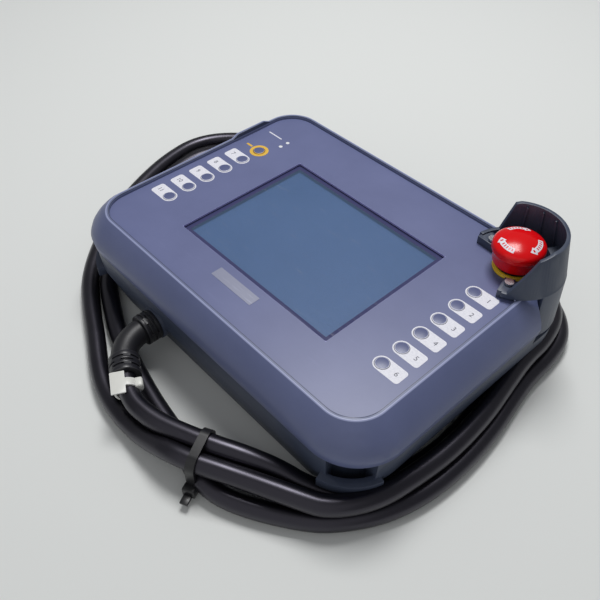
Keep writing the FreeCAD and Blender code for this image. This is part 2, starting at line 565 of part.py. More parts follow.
# Main board on four standoffs under the bracket.
STANDOFF_SPOTS = [(sx + "standoff_x", "window_y " + sy + " standoff_y") for sx in ("", "-") for sy in "+-"]
nodes.append(group("board_standoffs", [
    stepped_pin("standoff_%d" % i, [("standoff_radius", BOARD_TOP, BRACKET_UNDER)], x, y)
    for i, (x, y) in enumerate(STANDOFF_SPOTS)]))
BOARD_LOW = "(%s - board_thick)" % BOARD_TOP
nodes.append(plate("main_board", BOARD_LOW, "board_width", "board_depth", "board_corner",
                   "board_thick", "window_y"))
nodes.append(group("board_screws", [
    stepped_pin("board_screw_%d" % i, [("2 * pilot_radius", BOARD_LOW + " - small_head", BOARD_LOW)], x, y)
    for i, (x, y) in enumerate(STANDOFF_SPOTS)]))

# Key boards hanging under the key columns, their screws and the twelve switches.
KEY_BOARD_LOW = "(%s - key_board_thick)" % KEY_BOARD_TOP
for label, side in (("key_board_left", "-key_x"), ("key_board_right", "key_x")):
    board = plate(label, KEY_BOARD_LOW, "key_board_width",
                  "5 * key_pitch + 2 * key_board_end", "board_corner", "key_board_thick", "window_y", side)
    holes(board, KEY_BOARD_TOP, "key_board_thick",
          [("pilot_radius + fit_gap", x, y) for x, y in KEY_BOARD_SPOTS if x == side])
    nodes.append(board)
nodes.append(group("key_board_screws", [
    stepped_pin("key_board_screw_%d" % i, [
        ("2 * pilot_radius", KEY_BOARD_LOW + " - small_head", KEY_BOARD_LOW),
        ("pilot_radius", KEY_BOARD_LOW + " - bite", KEY_BOARD_TOP + " + key_screw_reach")], x, y)
    for i, (x, y) in enumerate(KEY_BOARD_SPOTS)]))
switches = []
for side in ("-key_x", "key_x"):
    for row in KEY_ROWS:
        switch = doc.addObject("Part::Box", "key_switch")
        for name, text in (("Length", "switch_side"), ("Width", "switch_side"), ("Height", "switch_high")):
            switch.setExpression(name, expr(text))
        at(switch, side + " - switch_side / 2", row + " - switch_side / 2", KEY_BOARD_TOP)
        switches.append(switch)
nodes.append(group("key_switches", switches))

# Keys: round caps with a flange that keeps them behind the plate.
KEY_NAMES = ["key_operate"] + ["key_%d" % n for n in (7, 8, 9, 10, 11, 1, 2, 3, 4, 5, 6)]
KEY_TOP = "face_height + key_proud"
for number, label in enumerate(KEY_NAMES):
    nodes.append(turned(label, [
        ("0", KEY_LOW), ("key_flange", KEY_LOW), ("key_flange", KEY_LOW + " + key_flange_thick"),
        ("key_radius", KEY_LOW + " + key_flange_thick"), ("key_radius", KEY_TOP + " - key_bevel"),
        ("key_radius - key_bevel", KEY_TOP), ("0", KEY_TOP)],
        ("-key_x", "key_x")[number // 6], KEY_ROWS[number % 6]))

# Two status lenses, flanged under the plate.
nodes.append(group("status_lenses", [
    stepped_pin("status_lens_%d" % i, [
        ("status_flange", PLATE_UNDER + " - status_flange_thick", PLATE_UNDER),
        ("status_radius", PLATE_UNDER + " - bite", "face_height")], x, y)
    for i, (x, y) in enumerate(STATUS_SPOTS)]))

# Emergency stop: barrel through the plate, with collar and gasket above and a nut below.
nodes.append(turned("estop_body", [
    ("stem_radius + stem_fit", "barrel_low"), ("barrel_radius", "barrel_low"),
    ("barrel_radius", BARREL_TOP + " - barrel_head_thick"),
    ("barrel_head", BARREL_TOP + " - barrel_head_thick"),
    ("barrel_head", BARREL_TOP), ("stem_radius + stem_fit", BARREL_TOP),
    ("stem_radius + stem_fit", "chamber_high"), ("chamber_radius", "chamber_high"),
    ("chamber_radius", "chamber_low"), ("stem_radius + stem_fit", "chamber_low")], "estop_x", "estop_y"))
nodes.append(turned("estop_gasket", [
    ("barrel_radius + barrel_clear", PLATE_TOP), ("gasket_radius", PLATE_TOP),
    ("gasket_radius", COLLAR_LOW), ("barrel_radius + barrel_clear", COLLAR_LOW)], "estop_x", "estop_y"))
nodes.append(turned("estop_collar", [
    ("barrel_radius + barrel_clear", COLLAR_LOW), ("collar_radius", COLLAR_LOW),
    ("collar_radius", COLLAR_LOW + " + collar_thick - collar_bevel"),
    ("collar_radius - collar_bevel", COLLAR_LOW + " + collar_thick"),
    ("barrel_radius + barrel_clear", COLLAR_LOW + " + collar_thick")], "estop_x", "estop_y"))
nut = new_body("estop_locknut", "estop_x", "estop_y")
nut_outline = sketch(nut, height=PLATE_UNDER + " - nut_thick")
NUT_HALF = "nut_radius / 2"
NUT_FLAT = "nut_radius * cos(30)"
profile(nut_outline, [
    ("nut_radius", "0"), (NUT_HALF, NUT_FLAT), ("-" + NUT_HALF, NUT_FLAT),
    ("-nut_radius", "0"), ("-" + NUT_HALF, "-" + NUT_FLAT), (NUT_HALF, "-" + NUT_FLAT)])
feature(nut, "Pad", nut_outline, Length="nut_thick")
holes(nut, PLATE_UNDER, "nut_thick", [("barrel_radius + nut_fit", "0", "0")])
nodes.append(nut)
contacts = doc.addObject("Part::Box", "estop_contacts")
contacts.Label = "estop_contacts"
for name, text in (("Length", "contact_side"), ("Width", "contact_side"), ("Height", "contact_high")):
    contacts.setExpression(name, expr(text))
at(contacts, "estop_x - contact_side / 2", "estop_y - contact_side / 2", "barrel_low - contact_high")
nodes.append(contacts)

# Stem with the shoulder that the spring lifts, and the red head that turns on its top.
SHOULDER_HIGH = "(chamber_high - fit_gap)"
nodes.append(turned("estop_stem", [
    ("0", "stem_low + estop_travel"), ("stem_radius", "stem_low + estop_travel"),
    ("stem_radius", SHOULDER_HIGH + " - shoulder_thick"),
    ("stem_shoulder", SHOULDER_HIGH + " - shoulder_thick"),
    ("stem_shoulder", SHOULDER_HIGH), ("stem_radius", SHOULDER_HIGH),
    ("stem_radius", "stem_socket"), ("0", "stem_socket")], "estop_x", "estop_y"))
cap = turned("estop_cap", [
    ("stem_radius + stem_fit", "cap_roof"), ("cap_hollow", "cap_roof"), ("cap_hollow", "cap_low"),
    ("cap_neck", "cap_low"), ("cap_skirt", "cap_band_low - cap_lip"), ("cap_radius", "cap_band_low"),
    ("cap_radius", "cap_band_high"), ("cap_radius - cap_round", "cap_band_high + cap_round_high"),
    ("dome_mid_radius", "cap_top - dome_mid_drop"), ("dome_top_radius", "cap_top - dome_top_drop"),
    ("0", "cap_top"), ("0", "stem_socket + stem_fit"),
    ("stem_radius + stem_fit", "stem_socket + stem_fit")], "estop_x", "estop_y")
nodes.append(cap)
spring = doc.addObject("Part::Feature", "estop_spring")
spring.Label = "estop_spring"
spring_low = value("chamber_low + spring_wire")
spring_high = value(SHOULDER_HIGH + " - shoulder_thick - spring_wire")
spring_rise = spring_high - spring_low


def wire_section(step):
    """Section of the spring's wire after so many steps round it."""
    turn = 360 * step / value("spring_steps")
    lift = spring_rise * step / (value("spring_steps") * value("spring_turns"))
    out = Rotation(Vector(0, 0, 1), turn).multVec(Vector(1, 0, 0))
    corners = []
    for corner in range(int(value("spring_sides"))):
        way = Rotation(Vector(0, 0, 1).cross(out), 360 * corner / value("spring_sides")).multVec(out)
        corners.append(out * value("spring_radius") + way * value("spring_wire") + Vector(0, 0, lift))
    return Part.makePolygon(corners + corners[:1])


spring_sections = int(value("spring_steps * spring_turns")) + 1
spring.Shape = Part.makeLoft([wire_section(step) for step in range(spring_sections)], True, True)
spring.Placement.Base = Vector(value("estop_x"), value("estop_y"), spring_low)
nodes.append(spring)

# Guard: a revolved shroud open towards the display, with sloped ends, a skirt down the corner,
# a ledge and ribs inside, and two screw feet on the face.
guard = new_body("estop_guard", "estop_x", "estop_y")
GUARD_FOOT = "(face_height + lip_height + guard_ride)"
GUARD_MIX = "((guard_top - %s) / (guard_top - face_height))" % GUARD_FOOT
FOOT_RADIUS = "(guard_top_radius + (guard_mid_radius - guard_top_radius) * %s)" % GUARD_MIX
shroud = sketch(guard, "XZ_Plane", swing="guard_mid_angle")
profile(shroud, [
    (FOOT_RADIUS + " - guard_wall", GUARD_FOOT), (FOOT_RADIUS, GUARD_FOOT),
    ("guard_top_radius", "guard_top"), ("guard_top_radius - guard_wall", "guard_top")])
revolve(guard, "Revolution", shroud, Angle="guard_sweep", Midplane=True)
skirt = sketch(guard, "XZ_Plane", swing="skirt_mid_angle")
profile(skirt, [
    ("guard_low_radius - guard_wall", "guard_low"), ("guard_low_radius", "guard_low"),
    (FOOT_RADIUS, GUARD_FOOT), (FOOT_RADIUS, GUARD_FOOT + " + bite"),
    (FOOT_RADIUS + " - guard_wall", GUARD_FOOT + " + bite"), (FOOT_RADIUS + " - guard_wall", GUARD_FOOT)])
revolve(guard, "Revolution", skirt, Angle="skirt_sweep", Midplane=True)
for end, swing in (("near", "guard_mid_angle - guard_sweep / 2 + near_slope + 90"),
                   ("far", "guard_mid_angle + guard_sweep / 2 - far_slope - 90")):
    slope = sketch(guard, "XZ_Plane", swing=swing)
    slope_foot = "%s + %s_slope_rise" % (GUARD_FOOT, end)
    profile(slope, [
        ("-%s_slope_half" % end, slope_foot), ("%s_slope_half" % end, "guard_top - %s_dip" % end),
        ("%s_slope_half + %s_dip_run" % (end, end), "guard_top"),
        ("%s_slope_half + %s_dip_run" % (end, end), "guard_top + overrun"),
        ("-2 * guard_low_radius", "guard_top + overrun"), ("-2 * guard_low_radius", slope_foot)])
    feature(guard, "Pocket", slope, Length="2 * guard_low_radius", Reversed=(end == "near"))
ledge = sketch(guard, "XZ_Plane", swing="ledge_mid_angle")
profile(ledge, [
    ("ledge_radius", GUARD_FOOT), (FOOT_RADIUS + " - guard_wall + bite", GUARD_FOOT),
    (FOOT_RADIUS + " - guard_wall - bite", "ledge_top"), ("ledge_radius", "ledge_top")])
revolve(guard, "Revolution", ledge, Angle="ledge_sweep", Midplane=True)
for angle in ("near_foot_angle", "far_foot_angle"):
    foot = sketch(guard, "XZ_Plane", swing=angle)
    profile(foot, [
        ("foot_inner", "face_height"), (FOOT_RADIUS + " - guard_wall + bite", "face_height"),
        (FOOT_RADIUS + " - guard_wall + bite", "face_height + foot_high"),
        ("foot_inner", "face_height + foot_high")])
    revolve(guard, "Revolution", foot, Angle="foot_sweep", Midplane=True)
holes(guard, "face_height + foot_high", "foot_high",
      [("foot_screw_radius + fit_gap", x + " - estop_x", y + " - estop_y") for x, y in FOOT_SPOTS])
rib = sketch(guard, "XZ_Plane", swing="rib_mid_angle - rib_pitch")
profile(rib, [
    (FOOT_RADIUS + " - guard_wall - rib_deep", GUARD_FOOT),
    (FOOT_RADIUS + " - guard_wall + bite", GUARD_FOOT),
    ("guard_top_radius - guard_wall + bite", "guard_top - rib_short"),
    ("guard_top_radius - guard_wall - rib_deep", "guard_top - rib_short")])
rib_one = revolve(guard, "Revolution", rib, Angle="rib_angle", Midplane=True)
ribs = guard.newObject("PartDesign::PolarPattern", "guard_ribs")
ribs.Originals = [rib_one]
ribs.Axis = (rib, ["V_Axis"])
ribs.setExpression("Angle", expr("2 * rib_pitch"))
ribs.Occurrences = 3
guard.Tip = ribs
doc.recompute()
nodes.append(guard)
nodes.append(group("guard_screws", [
    stepped_pin("guard_screw_%d" % i, [
        ("foot_head_radius", "face_height + foot_high", "face_height + foot_high + foot_head"),
        ("foot_screw_radius", FOOT_SCREW_LOW, "face_height + foot_high + bite")], x, y)
    for i, (x, y) in enumerate(FOOT_SPOTS)]))

# Cable outlet: ribbed collar on the housing's boss, bent boot and a second ribbed collar.
GLAND_FACE = "(exit_boss_face + gland_length)"
BEND_X = "(exit_x + boot_bend * (1 - cos(boot_turn)))"
BEND_Y = "(-%s - boot_bend * sin(boot_turn))" % GLAND_FACE


def ribbed(label, radius, length, x, y, turn):
    """A collar with three grooves, along its own axis."""
    outline = [("0", "0"), (radius, "0")]
    for groove in (2, 4, 6):
        low, high = "%s * %s / 9" % (length, groove), "%s * %s / 9" % (length, groove + 1)
        root = radius + " - gland_groove"
        outline += [(radius, low), (root, low), (root, high), (radius, high)]
    outline += [(radius, length), ("0", length)]
    return turned(label, outline, x, y, "exit_height", turn)


nodes.append(ribbed("gland_collar", "gland_radius", "gland_length", "exit_x", "-exit_boss_face",
                    Rotation(Vector(1, 0, 0), 90)))
boot = new_body("cable_boot", "exit_x + boot_bend", "-" + GLAND_FACE, "exit_height")
boot_round = sketch(boot, "XZ_Plane")
circle(boot_round, "boot_radius", "-boot_bend")
revolve(boot, "Revolution", boot_round, Angle="boot_turn")
nodes.append(boot)
heading = Vector(value("sin(boot_turn)"), -value("cos(boot_turn)"), 0)
nodes.append(ribbed("boot_collar", "boot_collar_radius", "boot_collar_length", BEND_X, BEND_Y,
                    Rotation(Vector(0, 0, 1), heading)))

# Cable route: out of the boot, then three loose turns laid round the panel, tied at the front.
boot_end = Vector(value(BEND_X), value(BEND_Y), value("exit_height"))
cable_start = boot_end + heading * value("boot_collar_length")
FIRST_TURN = [
    (14, -132.5, 20.2), (30, -127, 19.8), (46, -120.5, 19.4), (62, -112, 17.8), (78, -102.3, 13.5),
    (94, -94, 8.5), (110, -82, 5.7), (120, -56, 5.7), (124.3, -26, 5.7), (122.3, 4, 5.7), (117.5, 29, 5.7),
    (113.6, 52, 5.7), (113, 74.4, 5.7), (103.5, 92.8, 5.7), (82, 99, 5.7), (44, 95.5, 5.7), (0, 94.5, 5.7),
    (-46, 95, 5.7), (-94, 98, 5.7), (-140, 88, 5.7), (-168, 66, 5.7), (-180, 38, 5.7),
    (-172, 4, 5.7), (-150, -32, 5.7)]
SECOND_TURN = [
    (-129, -62, 5.7), (-108, -86.5, 5.7), (-86, -100, 5.7), (-62, -112, 5.7), (-46, -121, 5.7),
    (-27, -129.5, 5.7), (-4, -138, 5.7), (22, -144.5, 6.2), (51.3, -139.5, 8), (68, -131, 6.4),
    (90, -118, 5.7), (112, -100, 5.7), (128, -76, 5.7), (135.2, -50, 5.7), (136.5, -22, 5.7),
    (134.2, 4, 5.7), (129.6, 28, 5.7), (126.2, 48, 5.7), (125.8, 68, 5.7), (121.8, 90, 5.7),
    (106, 107, 5.7), (80, 116, 5.7), (46, 125.5, 5.7), (8, 129.5, 5.7), (-34, 127.5, 5.7),
    (-80, 119, 5.7), (-132, 106, 5.7), (-174, 84, 5.7)]
THIRD_TURN = [
    (-195, 54, 5.7), (-191, 20, 5.7), (-178, -14, 5.7), (-161, -46, 5.7), (-139, -73, 6.5),
    (-114.5, -95, 11.5), (-92, -104, 16.5), (-73, -113.5, 17.3), (-57, -125, 17.3), (-41, -135, 17.3),
    (-21, -144, 17.4), (1, -148.2, 17.7), (23, -144.5, 19), (47.5, -133, 17.6), (68, -123, 17.3),
    (87, -113, 17.4), (112, -100, 17.4), (130, -79.5, 17.3), (137, -54, 17.3), (138.6, -28, 17.3),
    (136.8, -3, 17.3), (132.4, 20, 17.3), (128, 40, 17.3), (126, 58, 17.3), (125.2, 74, 17.3),
    (120.8, 91, 17.3), (106, 104, 17.3), (84, 108.5, 16), (60, 111, 13), (34, 112, 13)]
# The spots are drawn round a panel of route_width by route_depth and move out with a larger one.
EASE_X = 1 + value("(rear_top_width - route_width) / 2 / route_side")
EASE_Y = 1 + value("(rear_top_depth - route_depth) / 2 / route_end")
TURN_SPOTS = [
    Vector(x * EASE_X, y * EASE_Y, z) for x, y, z in FIRST_TURN + SECOND_TURN + THIRD_TURN]
CABLE_ROUTE = [cable_start, cable_start + heading * value("exit_lead")] + TURN_SPOTS


def route_edges(route):
    """Straight runs joined by tangent arcs: for each run its two halves and the arc after it."""
    runs = [after - before for before, after in zip(route, route[1:])]
    edges, radii = [], []
    here = route[0]
    for corner, run, after in zip(route[1:], runs, runs[1:]):
        way, way_on = Vector(run).normalize(), Vector(after).normalize()
        half_turn = way.getAngle(way_on) / 2
        reach = 0.45 * min(run.Length, after.Length)
        radius = reach / math.tan(half_turn)
        bend_start, bend_end = corner - way * reach, corner + way_on * reach
        inward = (way_on - way).normalize()
        bend_mid = corner + inward * (radius / math.cos(half_turn) - radius)
        middle = (here + bend_start) / 2
        edges += [Part.LineSegment(here, middle).toShape(), Part.LineSegment(middle, bend_start).toShape()]
        edges.append(Part.Arc(bend_start, bend_mid, bend_end).toShape())
        radii.append(round(radius, 1))
        here = bend_end
    edges.append(Part.LineSegment(here, route[-1]).toShape())
    return edges, radii


def cable_span(label, edges):
    """A round tube along one stretch of the route."""
    start = edges[0].Vertexes[0].Point
    way = edges[0].Vertexes[1].Point - start
    ring = Part.Wire(Part.makeCircle(value("cable_radius"), start, way))
    tube = doc.addObject("Part::Feature", label)
    tube.Label = label
    tube.Shape = Part.Wire(edges).makePipeShell([ring], True, False)
    length = sum(edge.Length for edge in edges)
    section = math.pi * value("cable_radius") ** 2
    print(label, "length", round(length), "volume over section times length",
          round(tube.Shape.Volume / section / length, 4))
    return tube


route, bend_radii = route_edges(CABLE_ROUTE)
print("bend radii", bend_radii)
# The turns meet in the middle of a run: three edges stand for each run and its arc.
first_end = 3 * (len(FIRST_TURN) + 1) + 1
second_end = first_end + 3 * len(SECOND_TURN)
nodes.append(cable_span("cable_turn_1", route[:first_end]))
nodes.append(cable_span("cable_turn_2", route[first_end:second_end]))
nodes.append(cable_span("cable_turn_3", route[second_end:]))


def spot(point):
    """A point of the cable's route as three formulas."""
    return ["%.4f" % number for number in point]


# White marker tie: a band round the cable with a flat flag.
first_way = (CABLE_ROUTE[1] - CABLE_ROUTE[0]).normalize()
side_way = Vector(0, 0, 1).cross(first_way)
marker = new_body("marker_tie", *spot(CABLE_ROUTE[0] + first_way * value("marker_start")),
                  Rotation(side_way, Vector(0, 0, 1), first_way, "ZXY"))
band = sketch(marker, "XZ_Plane")
MARKER_IN = "(cable_radius + marker_gap)"
profile(band, [
    (MARKER_IN, "0"), (MARKER_IN + " + marker_thick", "0"),
    (MARKER_IN + " + marker_thick", "marker_width"), (MARKER_IN, "marker_width")])
revolve(marker, "Revolution", band, Angle="360")
flag = sketch(marker, height="marker_width / 2 - flag_long / 2")
profile(flag, [
    ("0", MARKER_IN + " + marker_thick - flag_thick"), ("0", MARKER_IN + " + marker_thick"),
    ("-flag_wide", MARKER_IN + " + marker_thick"),
    ("-flag_wide", MARKER_IN + " + marker_thick - flag_thick")])
feature(marker, "Pad", flag, Length="flag_long")
nodes.append(marker)

# Cable tie: a band drawn round the three strands, with its head on the outside.
tie_way = Vector(1, 0.5, 0).normalize()
tie_across = Vector(0, 0, 1).cross(tie_way)
tied = (2, len(FIRST_TURN) + 8, len(FIRST_TURN + SECOND_TURN) + 13)
strands = [TURN_SPOTS[place_on] for place_on in tied]
tie_middle = (strands[0] + strands[1] + strands[2]) / 3
flat_spots = [((s - tie_middle).dot(tie_across), s.z) for s in strands]


def drawn_round(spots, radius):
    """The face inside a band drawn tight round circles of one radius at three spots."""
    mid_x, mid_z = (sum(numbers) / 3 for numbers in zip(*spots))
    ring = sorted(spots, key=lambda s: math.atan2(s[1] - mid_z, s[0] - mid_x))
    lines = []
    for (x1, z1), (x2, z2) in zip(ring, ring[1:] + ring[:1]):
        length = math.hypot(x2 - x1, z2 - z1)
        out_x, out_z = (z2 - z1) / length * radius, -(x2 - x1) / length * radius
        lines.append(((x1 + out_x, z1 + out_z), (x2 + out_x, z2 + out_z)))
    edges = []
    for i, (start, end) in enumerate(lines):
        edges.append(Part.LineSegment(Vector(*start, 0), Vector(*end, 0)).toShape())
        corner = ring[(i + 1) % 3]
        after = lines[(i + 1) % 3][0]
        out = Vector((end[0] + after[0]) / 2 - corner[0], (end[1] + after[1]) / 2 - corner[1], 0)
        mid = Vector(corner[0], corner[1], 0) + out.normalize() * radius
        edges.append(Part.Arc(Vector(*end, 0), mid, Vector(*after, 0)).toShape())
    return Part.Face(Part.Wire(edges))


inner_radius = value("cable_radius + tie_gap")
outer_radius = inner_radius + value("tie_thick")
tie_band = drawn_round(flat_spots, outer_radius).cut(drawn_round(flat_spots, inner_radius))
tie_solid = tie_band.extrude(Vector(0, 0, value("tie_width")))
tie_edge = min(x for x, z in flat_spots) - inner_radius - value("bite")
tie_head = Part.makeBox(
    value("tie_head_deep"), value("tie_head_high"), value("tie_width + 2 * tie_head_over"),
    Vector(tie_edge - value("tie_head_deep"), value("tie_head_low"), -value("tie_head_over")))
coil_tie = doc.addObject("Part::Feature", "coil_tie")
coil_tie.Label = "coil_tie"
coil_tie.Shape = tie_solid.fuse(tie_head)
coil_tie.Placement = FreeCAD.Placement(
    Vector(tie_middle.x, tie_middle.y, 0) - tie_way * (value("tie_width") / 2),
    Rotation(tie_across, Vector(0, 0, 1), tie_way, "ZXY"))
nodes.append(coil_tie)

# Plug at the far end of the cable: a round shell with a coupling ring.
end_way = CABLE_ROUTE[-1] - CABLE_ROUTE[-2]
nodes.append(turned("cable_connector", [
    ("0", "0"), ("cable_radius + plug_tail", "0"), ("plug_radius", "plug_shoulder"),
    ("plug_radius", "plug_length - plug_ring_length"),
    ("plug_ring_radius", "plug_length - plug_ring_length"),
    ("plug_ring_radius", "plug_length - plug_lip"), ("plug_radius - plug_step", "plug_length - plug_lip"),
    ("plug_radius - plug_step", "plug_length"), ("0", "plug_length")],
    *spot(CABLE_ROUTE[-1]), Rotation(Vector(0, 0, 1), end_way)))

doc.recompute()
failed = [item.Name for item in doc.Objects if "Invalid" in item.State or "Error" in item.State]
failed += [node.Label for node in nodes if node.Shape.isNull() or not node.Shape.isValid()]
if failed:
    raise RuntimeError("pieces that did not build: " + ", ".join(failed))
os.makedirs("parts", exist_ok=True)
for node in nodes:
    node.Shape.exportStep("parts/%s.step" % node.Label)
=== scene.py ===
"""Handheld operator touch panel lying on its back, with its cable tied in loose turns round it."""
import bmesh
import bpy
import json
import math
from mathutils import Matrix, Vector

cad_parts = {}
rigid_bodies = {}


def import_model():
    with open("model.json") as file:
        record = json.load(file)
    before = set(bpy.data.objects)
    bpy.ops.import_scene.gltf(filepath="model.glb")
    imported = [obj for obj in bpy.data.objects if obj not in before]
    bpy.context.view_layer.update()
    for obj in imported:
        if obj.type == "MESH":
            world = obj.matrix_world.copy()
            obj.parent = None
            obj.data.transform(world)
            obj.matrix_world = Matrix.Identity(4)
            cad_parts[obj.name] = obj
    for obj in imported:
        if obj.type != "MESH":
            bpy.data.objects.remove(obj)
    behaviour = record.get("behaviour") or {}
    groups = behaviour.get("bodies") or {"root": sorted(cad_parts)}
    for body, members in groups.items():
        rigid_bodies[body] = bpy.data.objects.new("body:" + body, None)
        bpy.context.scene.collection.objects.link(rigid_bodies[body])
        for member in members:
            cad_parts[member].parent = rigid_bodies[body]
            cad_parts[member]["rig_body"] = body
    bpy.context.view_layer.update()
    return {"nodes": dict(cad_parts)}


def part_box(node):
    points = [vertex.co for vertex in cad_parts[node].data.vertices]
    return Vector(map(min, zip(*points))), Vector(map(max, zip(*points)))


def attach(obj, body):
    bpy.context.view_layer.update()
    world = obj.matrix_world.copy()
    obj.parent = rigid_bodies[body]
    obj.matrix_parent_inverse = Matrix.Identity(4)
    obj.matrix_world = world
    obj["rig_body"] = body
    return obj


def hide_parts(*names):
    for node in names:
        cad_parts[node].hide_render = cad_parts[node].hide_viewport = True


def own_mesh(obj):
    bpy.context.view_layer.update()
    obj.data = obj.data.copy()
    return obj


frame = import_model()
nodes = frame["nodes"]
scene = bpy.context.scene
MM = 0.001


# Rear housing: the tapered tub that the panel lies on, injection moulded in dark slate plastic.
# The tool leaves a fine grain and small radii on every edge, and the strap bars are part of it.
def tone(red, green, blue):
    """A colour as it is seen, 0 to 255, for a shader's socket."""
    seen = [number / 255 for number in (red, green, blue)]
    return tuple(n / 12.92 if n <= 0.04045 else ((n + 0.055) / 1.055) ** 2.4 for n in seen) + (1.0,)


def put(tree, kind, settings=(), feeds=()):
    """A new node with its settings, and its inputs fed from sockets or given plain values."""
    made = tree.nodes.new(kind)
    for name, value in dict(settings).items():
        setattr(made, name, value)
    for name, value in dict(feeds).items():
        if isinstance(value, bpy.types.NodeSocket):
            tree.links.new(value, made.inputs[name])
        else:
            made.inputs[name].default_value = value
    return made


def worked(tree, operation, first, second=0.0):
    """One sum of two numbers in a tree."""
    return put(tree, "ShaderNodeMath", {"operation": operation}, {0: first, 1: second}).outputs["Value"]


def ramped(tree, value, low, high, bottom=0.0, top=1.0):
    """A value stretched from one range to another."""
    feeds = {"Value": value, "From Min": low, "From Max": high, "To Min": bottom, "To Max": top}
    return put(tree, "ShaderNodeMapRange", feeds=feeds).outputs["Result"]


def blended(tree, factor, first, second):
    """Two colours mixed by a mask."""
    made = put(tree, "ShaderNodeMix", {"data_type": "RGBA"}, {0: factor, 6: first, 7: second})
    return made.outputs[2]


def on_piece(tree):
    """Where a point lies on its piece."""
    return put(tree, "ShaderNodeTexCoord").outputs["Object"]


def stretched(tree, place, scale, rotation=(0.0, 0.0, 0.0)):
    """A place drawn out along its axes, so that a pattern on it runs in lines."""
    feeds = {"Vector": place, "Rotation": rotation, "Scale": scale}
    return put(tree, "ShaderNodeMapping", feeds=feeds).outputs["Vector"]


def cloudy(tree, place, scale, detail=2.0, roughness=0.5):
    """A soft uneven pattern of a given fineness."""
    feeds = {"Vector": place, "Scale": scale, "Detail": detail, "Roughness": roughness}
    return put(tree, "ShaderNodeTexNoise", feeds=feeds).outputs["Fac"]


def effect(name, numbers, masks):
    """A shader group with named numbers going in and masks coming out."""
    group = bpy.data.node_groups.new(name, "ShaderNodeTree")
    for label, usual in numbers:
        group.interface.new_socket(label, in_out="INPUT", socket_type="NodeSocketFloat").default_value = usual
    for label in masks:
        group.interface.new_socket(label, in_out="OUTPUT", socket_type="NodeSocketFloat")
    return group, group.nodes.new("NodeGroupInput"), group.nodes.new("NodeGroupOutput")


grain, grain_in, grain_out = effect("moulded_grain", [("Grain Scale", 1800), ("Mottle Scale", 22)],
                                    ["Grain", "Mottle"])
grain_place = on_piece(grain)
fine = cloudy(grain, grain_place, grain_in.outputs["Grain Scale"], detail=2.0, roughness=0.55)
broad = cloudy(grain, grain_place, grain_in.outputs["Mottle Scale"], detail=5.0, roughness=0.6)
grain.links.new(fine, grain_out.inputs["Grain"])
grain.links.new(broad, grain_out.inputs["Mottle"])

marks, marks_in, marks_out = effect("handling_marks", [("Mark Scale", 60), ("Amount", 0.4)], ["Scuff"])
marks_place = on_piece(marks)
slanted = stretched(marks, marks_place, scale=(1.0, 14.0, 5.0), rotation=(0.4, 0.2, 0.9))
strokes = ramped(marks, cloudy(marks, slanted, marks_in.outputs["Mark Scale"]), 0.60, 0.72)
patches = ramped(marks, cloudy(marks, marks_place, scale=26.0, detail=3.0), 0.48, 0.68)
worn = worked(marks, "MULTIPLY", strokes, patches)
marks.links.new(worked(marks, "MULTIPLY", worn, marks_in.outputs["Amount"]), marks_out.inputs["Scuff"])


def plain_material(name, values):
    """A new material with these values on its shader."""
    material = bpy.data.materials.new(name)
    material.use_nodes = True
    shader = material.node_tree.nodes["Principled BSDF"]
    for label, value in values.items():
        shader.inputs[label].default_value = value
    return material, material.node_tree, shader


def moulded(name, dark, light, smooth, rough, grain_scale=1800, depth=0.02, scuffs=0.4, values=()):
    """A moulded surface: two near tones in a broad mottle, a fine grain, pale scuffs, and edges painted
    paler, partly as rubbed wear and partly as a painted highlight.
    """
    material, tree, shader = plain_material(name, dict(values))
    grained = put(tree, "ShaderNodeGroup", {"node_tree": grain}, {"Grain Scale": grain_scale}).outputs
    scuff = put(tree, "ShaderNodeGroup", {"node_tree": marks}, {"Amount": scuffs}).outputs["Scuff"]
    base = blended(tree, ramped(tree, grained["Mottle"], 0.3, 0.7), tone(*dark), tone(*light))
    paler = tuple(min(1.0, c * 1.5 + 0.025) for c in tone(*light)[:3]) + (1.0,)
    # The faces of the edge radius are painted paler: partly rubbed wear, partly a painted highlight along the
    # edge.
    edges = put(tree, "ShaderNodeAttribute", {"attribute_name": "wear_and_highlight_edge"}).outputs["Fac"]
    edge_wear_and_highlight = worked(tree, "MULTIPLY", edges, ramped(tree, grained["Mottle"], 0.3, 0.6, bottom=0.35, top=0.8))
    scuffed = blended(tree, scuff, base, paler)
    tree.links.new(blended(tree, edge_wear_and_highlight, scuffed, paler), shader.inputs["Base Color"])
    uneven = put(tree, "ShaderNodeMath", {"operation": "MULTIPLY_ADD"}, {
        0: grained["Grain"], 1: 0.6, 2: scuff}).outputs["Value"]
    tree.links.new(ramped(tree, uneven, 0.1, 0.7, smooth, rough), shader.inputs["Roughness"])
    bump = put(tree, "ShaderNodeBump", feeds={
        "Strength": 0.5, "Distance": depth * MM, "Height": grained["Grain"]})
    tree.links.new(bump.outputs["Normal"], shader.inputs["Normal"])
    return material


def stood(name, data):
    """A new object in the scene, at the origin."""
    thing = bpy.data.objects.new(name, data)
    scene.collection.objects.link(thing)
    return thing


def placed(name, mesh, material, body):
    """A finished piece, riding on its body."""
    piece = stood(name, mesh)
    mesh.materials.clear()
    mesh.materials.append(material)
    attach(piece, body)
    return piece


def settled(piece):
    """The piece's mesh with its modifiers worked in."""
    seen = piece.evaluated_get(bpy.context.evaluated_depsgraph_get())
    return bpy.data.meshes.new_from_object(seen)


def smoothed(mesh, sharp):
    """Shades a mesh smooth, apart from the edges that are sharper than an angle."""
    mesh.shade_smooth()
    mesh.set_sharp_from_angle(angle=math.radians(sharp))


JOIN_WITHIN = 0.002
FLAT_WITHIN = 0.6


def merged(node):
    """A copy of a node's mesh, and a form of it whose loose corners are joined."""
    mesh = nodes[node].data.copy()
    form = bmesh.new()
    form.from_mesh(mesh)
    bmesh.ops.remove_doubles(form, verts=form.verts, dist=JOIN_WITHIN * MM)
    return mesh, form


